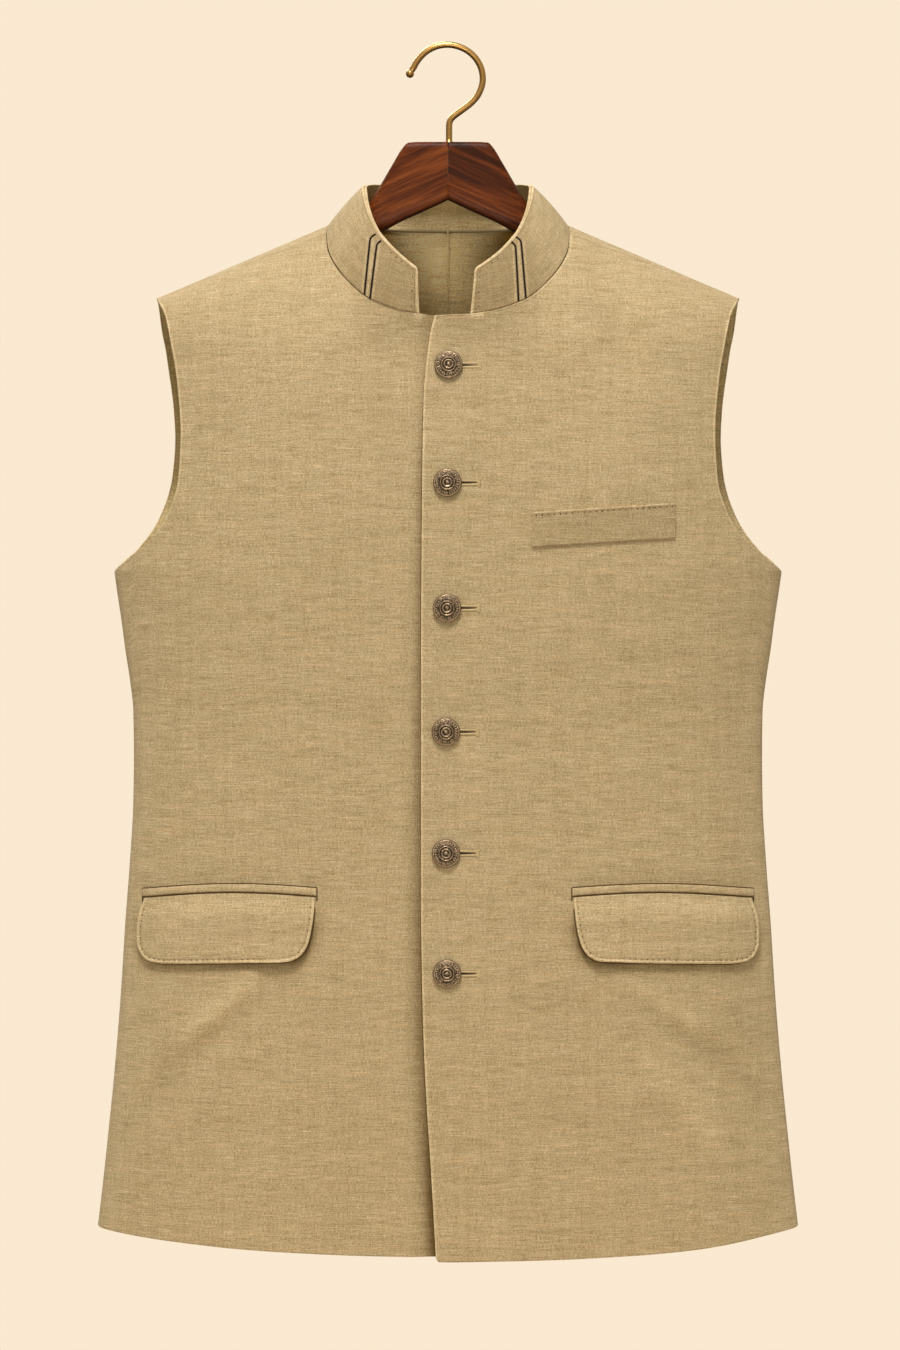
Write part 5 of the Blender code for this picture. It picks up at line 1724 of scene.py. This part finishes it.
# The hanger: each arm from the mitre outwards, its section a rounded block that turns oval. By "x" are the
# top and bottom heights, half the depth, and the power of the section's outline.
arm = {
    "x": (0.02, 20, 29.5, 33, 41, 49, 59, 74, 88, 104, 122, 150, 180, 200, 207),
    "top": (-69.9, -69.9, -70.4, -73.6, -86.5, -99.8, -115.4, -131, -140, -145.4, -150, -162, -174.8,
            -184.8, -190),
    "bottom": (-113.9, -123.2, -127.4, -129.0, -132.9, -136.8, -141.2, -148.2, -158, -166.5, -175, -187,
               -199, -205, -203),
    "half": (11.5, 11.5, 11.5, 11.5, 11.3, 11, 10, 10, 10.2, 13, 16.2, 19.4, 20.5, 19, 12),
    "power": (9, 9, 9, 8, 6.5, 3.8, 2.3, 2.2, 2.2, 2.1, 2.0, 2.0, 2.0, 2.0, 2.0),
    "start": 0.02, "length": 206.98, "mitre": 0.35, "around": 72, "cell": 1.6, "firstCells": (0.9,),
    "lastCells": (0.8, 0.5, 0.3), "closeX": 203, "closeOver": 4.0, "sharp": 50,
    # the lower front edge is cut away near the mitre; the underside is painted darker as shade
    "cut": (1.9, 0.55, 0.4), "cutTo": (60, 30), "under": (0.86, 0.12),
}
# The hook's wire, its listed path, the ball on its end, and the flared foot: radii by height.
hook = {
    "wire": 4.7, "ball": 3.1, "ballAt": (-28.1, 0.0, -18.6), "endRadius": 0.86, "sides": 24, "count": 130,
    "path": ((-27.6, -17.2), (-25.5, -14.2), (-23.8, -11.0), (-21.7, -7.9), (-19.2, -5.0), (-16.4, -2.5),
             (-13.3, -0.5), (-10.0, 1.1), (-6.4, 2.2), (-2.8, 2.75), (0.9, 2.8), (4.6, 2.35), (8.1, 1.4),
             (11.5, 0.0), (14.7, -1.8), (17.6, -4.1), (20.1, -6.7), (22.2, -9.7), (23.9, -12.9),
             (25.05, -16.4), (25.65, -20.0), (25.75, -23.6), (25.2, -27.1), (24.1, -30.5), (22.6, -33.7),
             (20.7, -36.6), (18.1, -39.4), (15.0, -42.2), (11.6, -44.7), (8.5, -46.95), (5.6, -49.1),
             (3.1, -51.3), (1.55, -53.6), (0.95, -56.0), (0.85, -60.3), (0.85, -70.9)),
    "stem": 0.85, "flareZ": (-0.6, 0.0, 0.35, 0.8, 1.5, 2.2), "flare": (2.95, 2.95, 2.9, 2.6, 2.42, 2.34),
    # painted light: brighter where it faces this way
    "light": (0.25, -0.45, 0.86), "polish": (0.50, 0.80),
}


def armMesh(name, sign):
    start, mitre = arm["start"], arm["mitre"]
    x = steps(arm["length"], arm["firstCells"], arm["lastCells"], arm["cell"])[1:] + start
    x = np.concatenate([[start, mitre], x])
    rows = ("top", "bottom", "half", "power")
    top, bottom, half, power = (smoothThrough(arm["x"], arm[row], x) for row in rows)
    inset = np.where(x < 0.3, mitre, np.where(x < 0.5, 0.08, 0.0))
    closeX = arm["closeX"]
    close = np.sqrt(np.clip(1 - ((x - closeX) / arm["closeOver"]) ** 2, 0.03, 1))
    close = np.where(x > closeX, close, 1.0)
    angles = 2 * np.pi * (np.arange(arm["around"]) + 0.5) / arm["around"]
    c, s = np.cos(angles), np.sin(angles)
    (depth, cutFrom, cutOver), (cutTo, cutFade), (dark, darkOver) = arm["cut"], arm["cutTo"], arm["under"]
    mesh = bmesh.new()
    rings, under = [], []
    for i in range(len(x)):
        size = (np.abs(c) ** power[i] + np.abs(s) ** power[i]) ** (-1 / power[i])
        middle, rise = (top[i] + bottom[i]) / 2, (top[i] - bottom[i]) / 2 - inset[i]
        y, z = (half[i] - inset[i]) * c * size * close[i], middle + rise * s * size * close[i]
        cut = smoothstep((-s * size - cutFrom) / cutOver) * smoothstep((cutTo - x[i]) / cutFade)
        z = z + depth * (1 + c * size) * cut
        rings.append([mesh.verts.new((sign * x[i] * mm, a * mm, b * mm)) for a, b in zip(y, z)])
        # painted shade on the underside
        under.append(smoothstep((-s * size - dark) / darkOver))
    for a, b in zip(rings, rings[1:]):
        for k in range(len(a)):
            n = (k + 1) % len(a)
            mesh.faces.new((a[k], a[n], b[n], b[k]))
    mesh.faces.new(rings[0])
    mesh.faces.new(rings[-1])
    bmesh.ops.recalc_face_normals(mesh, faces=mesh.faces)
    data = bpy.data.meshes.new(name)
    mesh.to_mesh(data)
    mesh.free()
    setValues(data, "under", under)
    return data


def hookWire():
    path = curveThrough([(x, 0.0, z) for x, z in hook["path"]], np.linspace(0, 1, hook["count"]))
    radius = hook["wire"] / 2
    radii = np.full(len(path), radius)
    radii[:2] = radius * hook["endRadius"]
    data = tubeMesh("hook_wire", path, radius, hook["sides"], radii)
    joined = bmesh.new()
    joined.from_mesh(data)
    place = Matrix.Translation(Vector(hook["ballAt"]) * mm)
    bmesh.ops.create_uvsphere(joined, u_segments=28, v_segments=18, radius=hook["ball"] * mm,
                              matrix=place)
    joined.to_mesh(data)
    joined.free()
    # the ball's faces come in an order of their own on each run, so they are laid down in a fixed one
    points = [tuple(point.co) for point in data.vertices]
    faces = [list(face.vertices) for face in data.polygons]
    turns = [face.index(min(face)) for face in faces]
    faces = sorted(face[turn:] + face[:turn] for face, turn in zip(faces, turns))
    data.clear_geometry()
    data.from_pydata(points, [], faces)
    return data


def hookFlare():
    profile = [(hook["stem"], 0, arm["top"][0] + height) for height in hook["flareZ"]]
    return tubeMesh("hook_flare", profile, 2.6, 28, np.array(hook["flare"]))


def makeHanger():
    for sign, label in bothSides:
        name = f"hanger_arm_{label}_wood"
        piece = addPiece(name, armMesh(name, sign), wood, (f"hanger_arm_{label}",))
        piece.data.set_sharp_from_angle(angle=math.radians(arm["sharp"]))
    for data, node in ((hookWire(), "hook"), (hookFlare(), "hook_ferrule")):
        addPiece(data.name, data, brass, (node,))
        # painted light: each point's polish follows the way it faces
        facing = np.array([corner.vector for corner in data.vertex_normals]) @ np.array(hook["light"])
        middle, more = hook["polish"]
        setValues(data, "polish", np.clip(middle + more * facing, 0.0, 1.0))


makeHanger()
print("hanger and hook made")
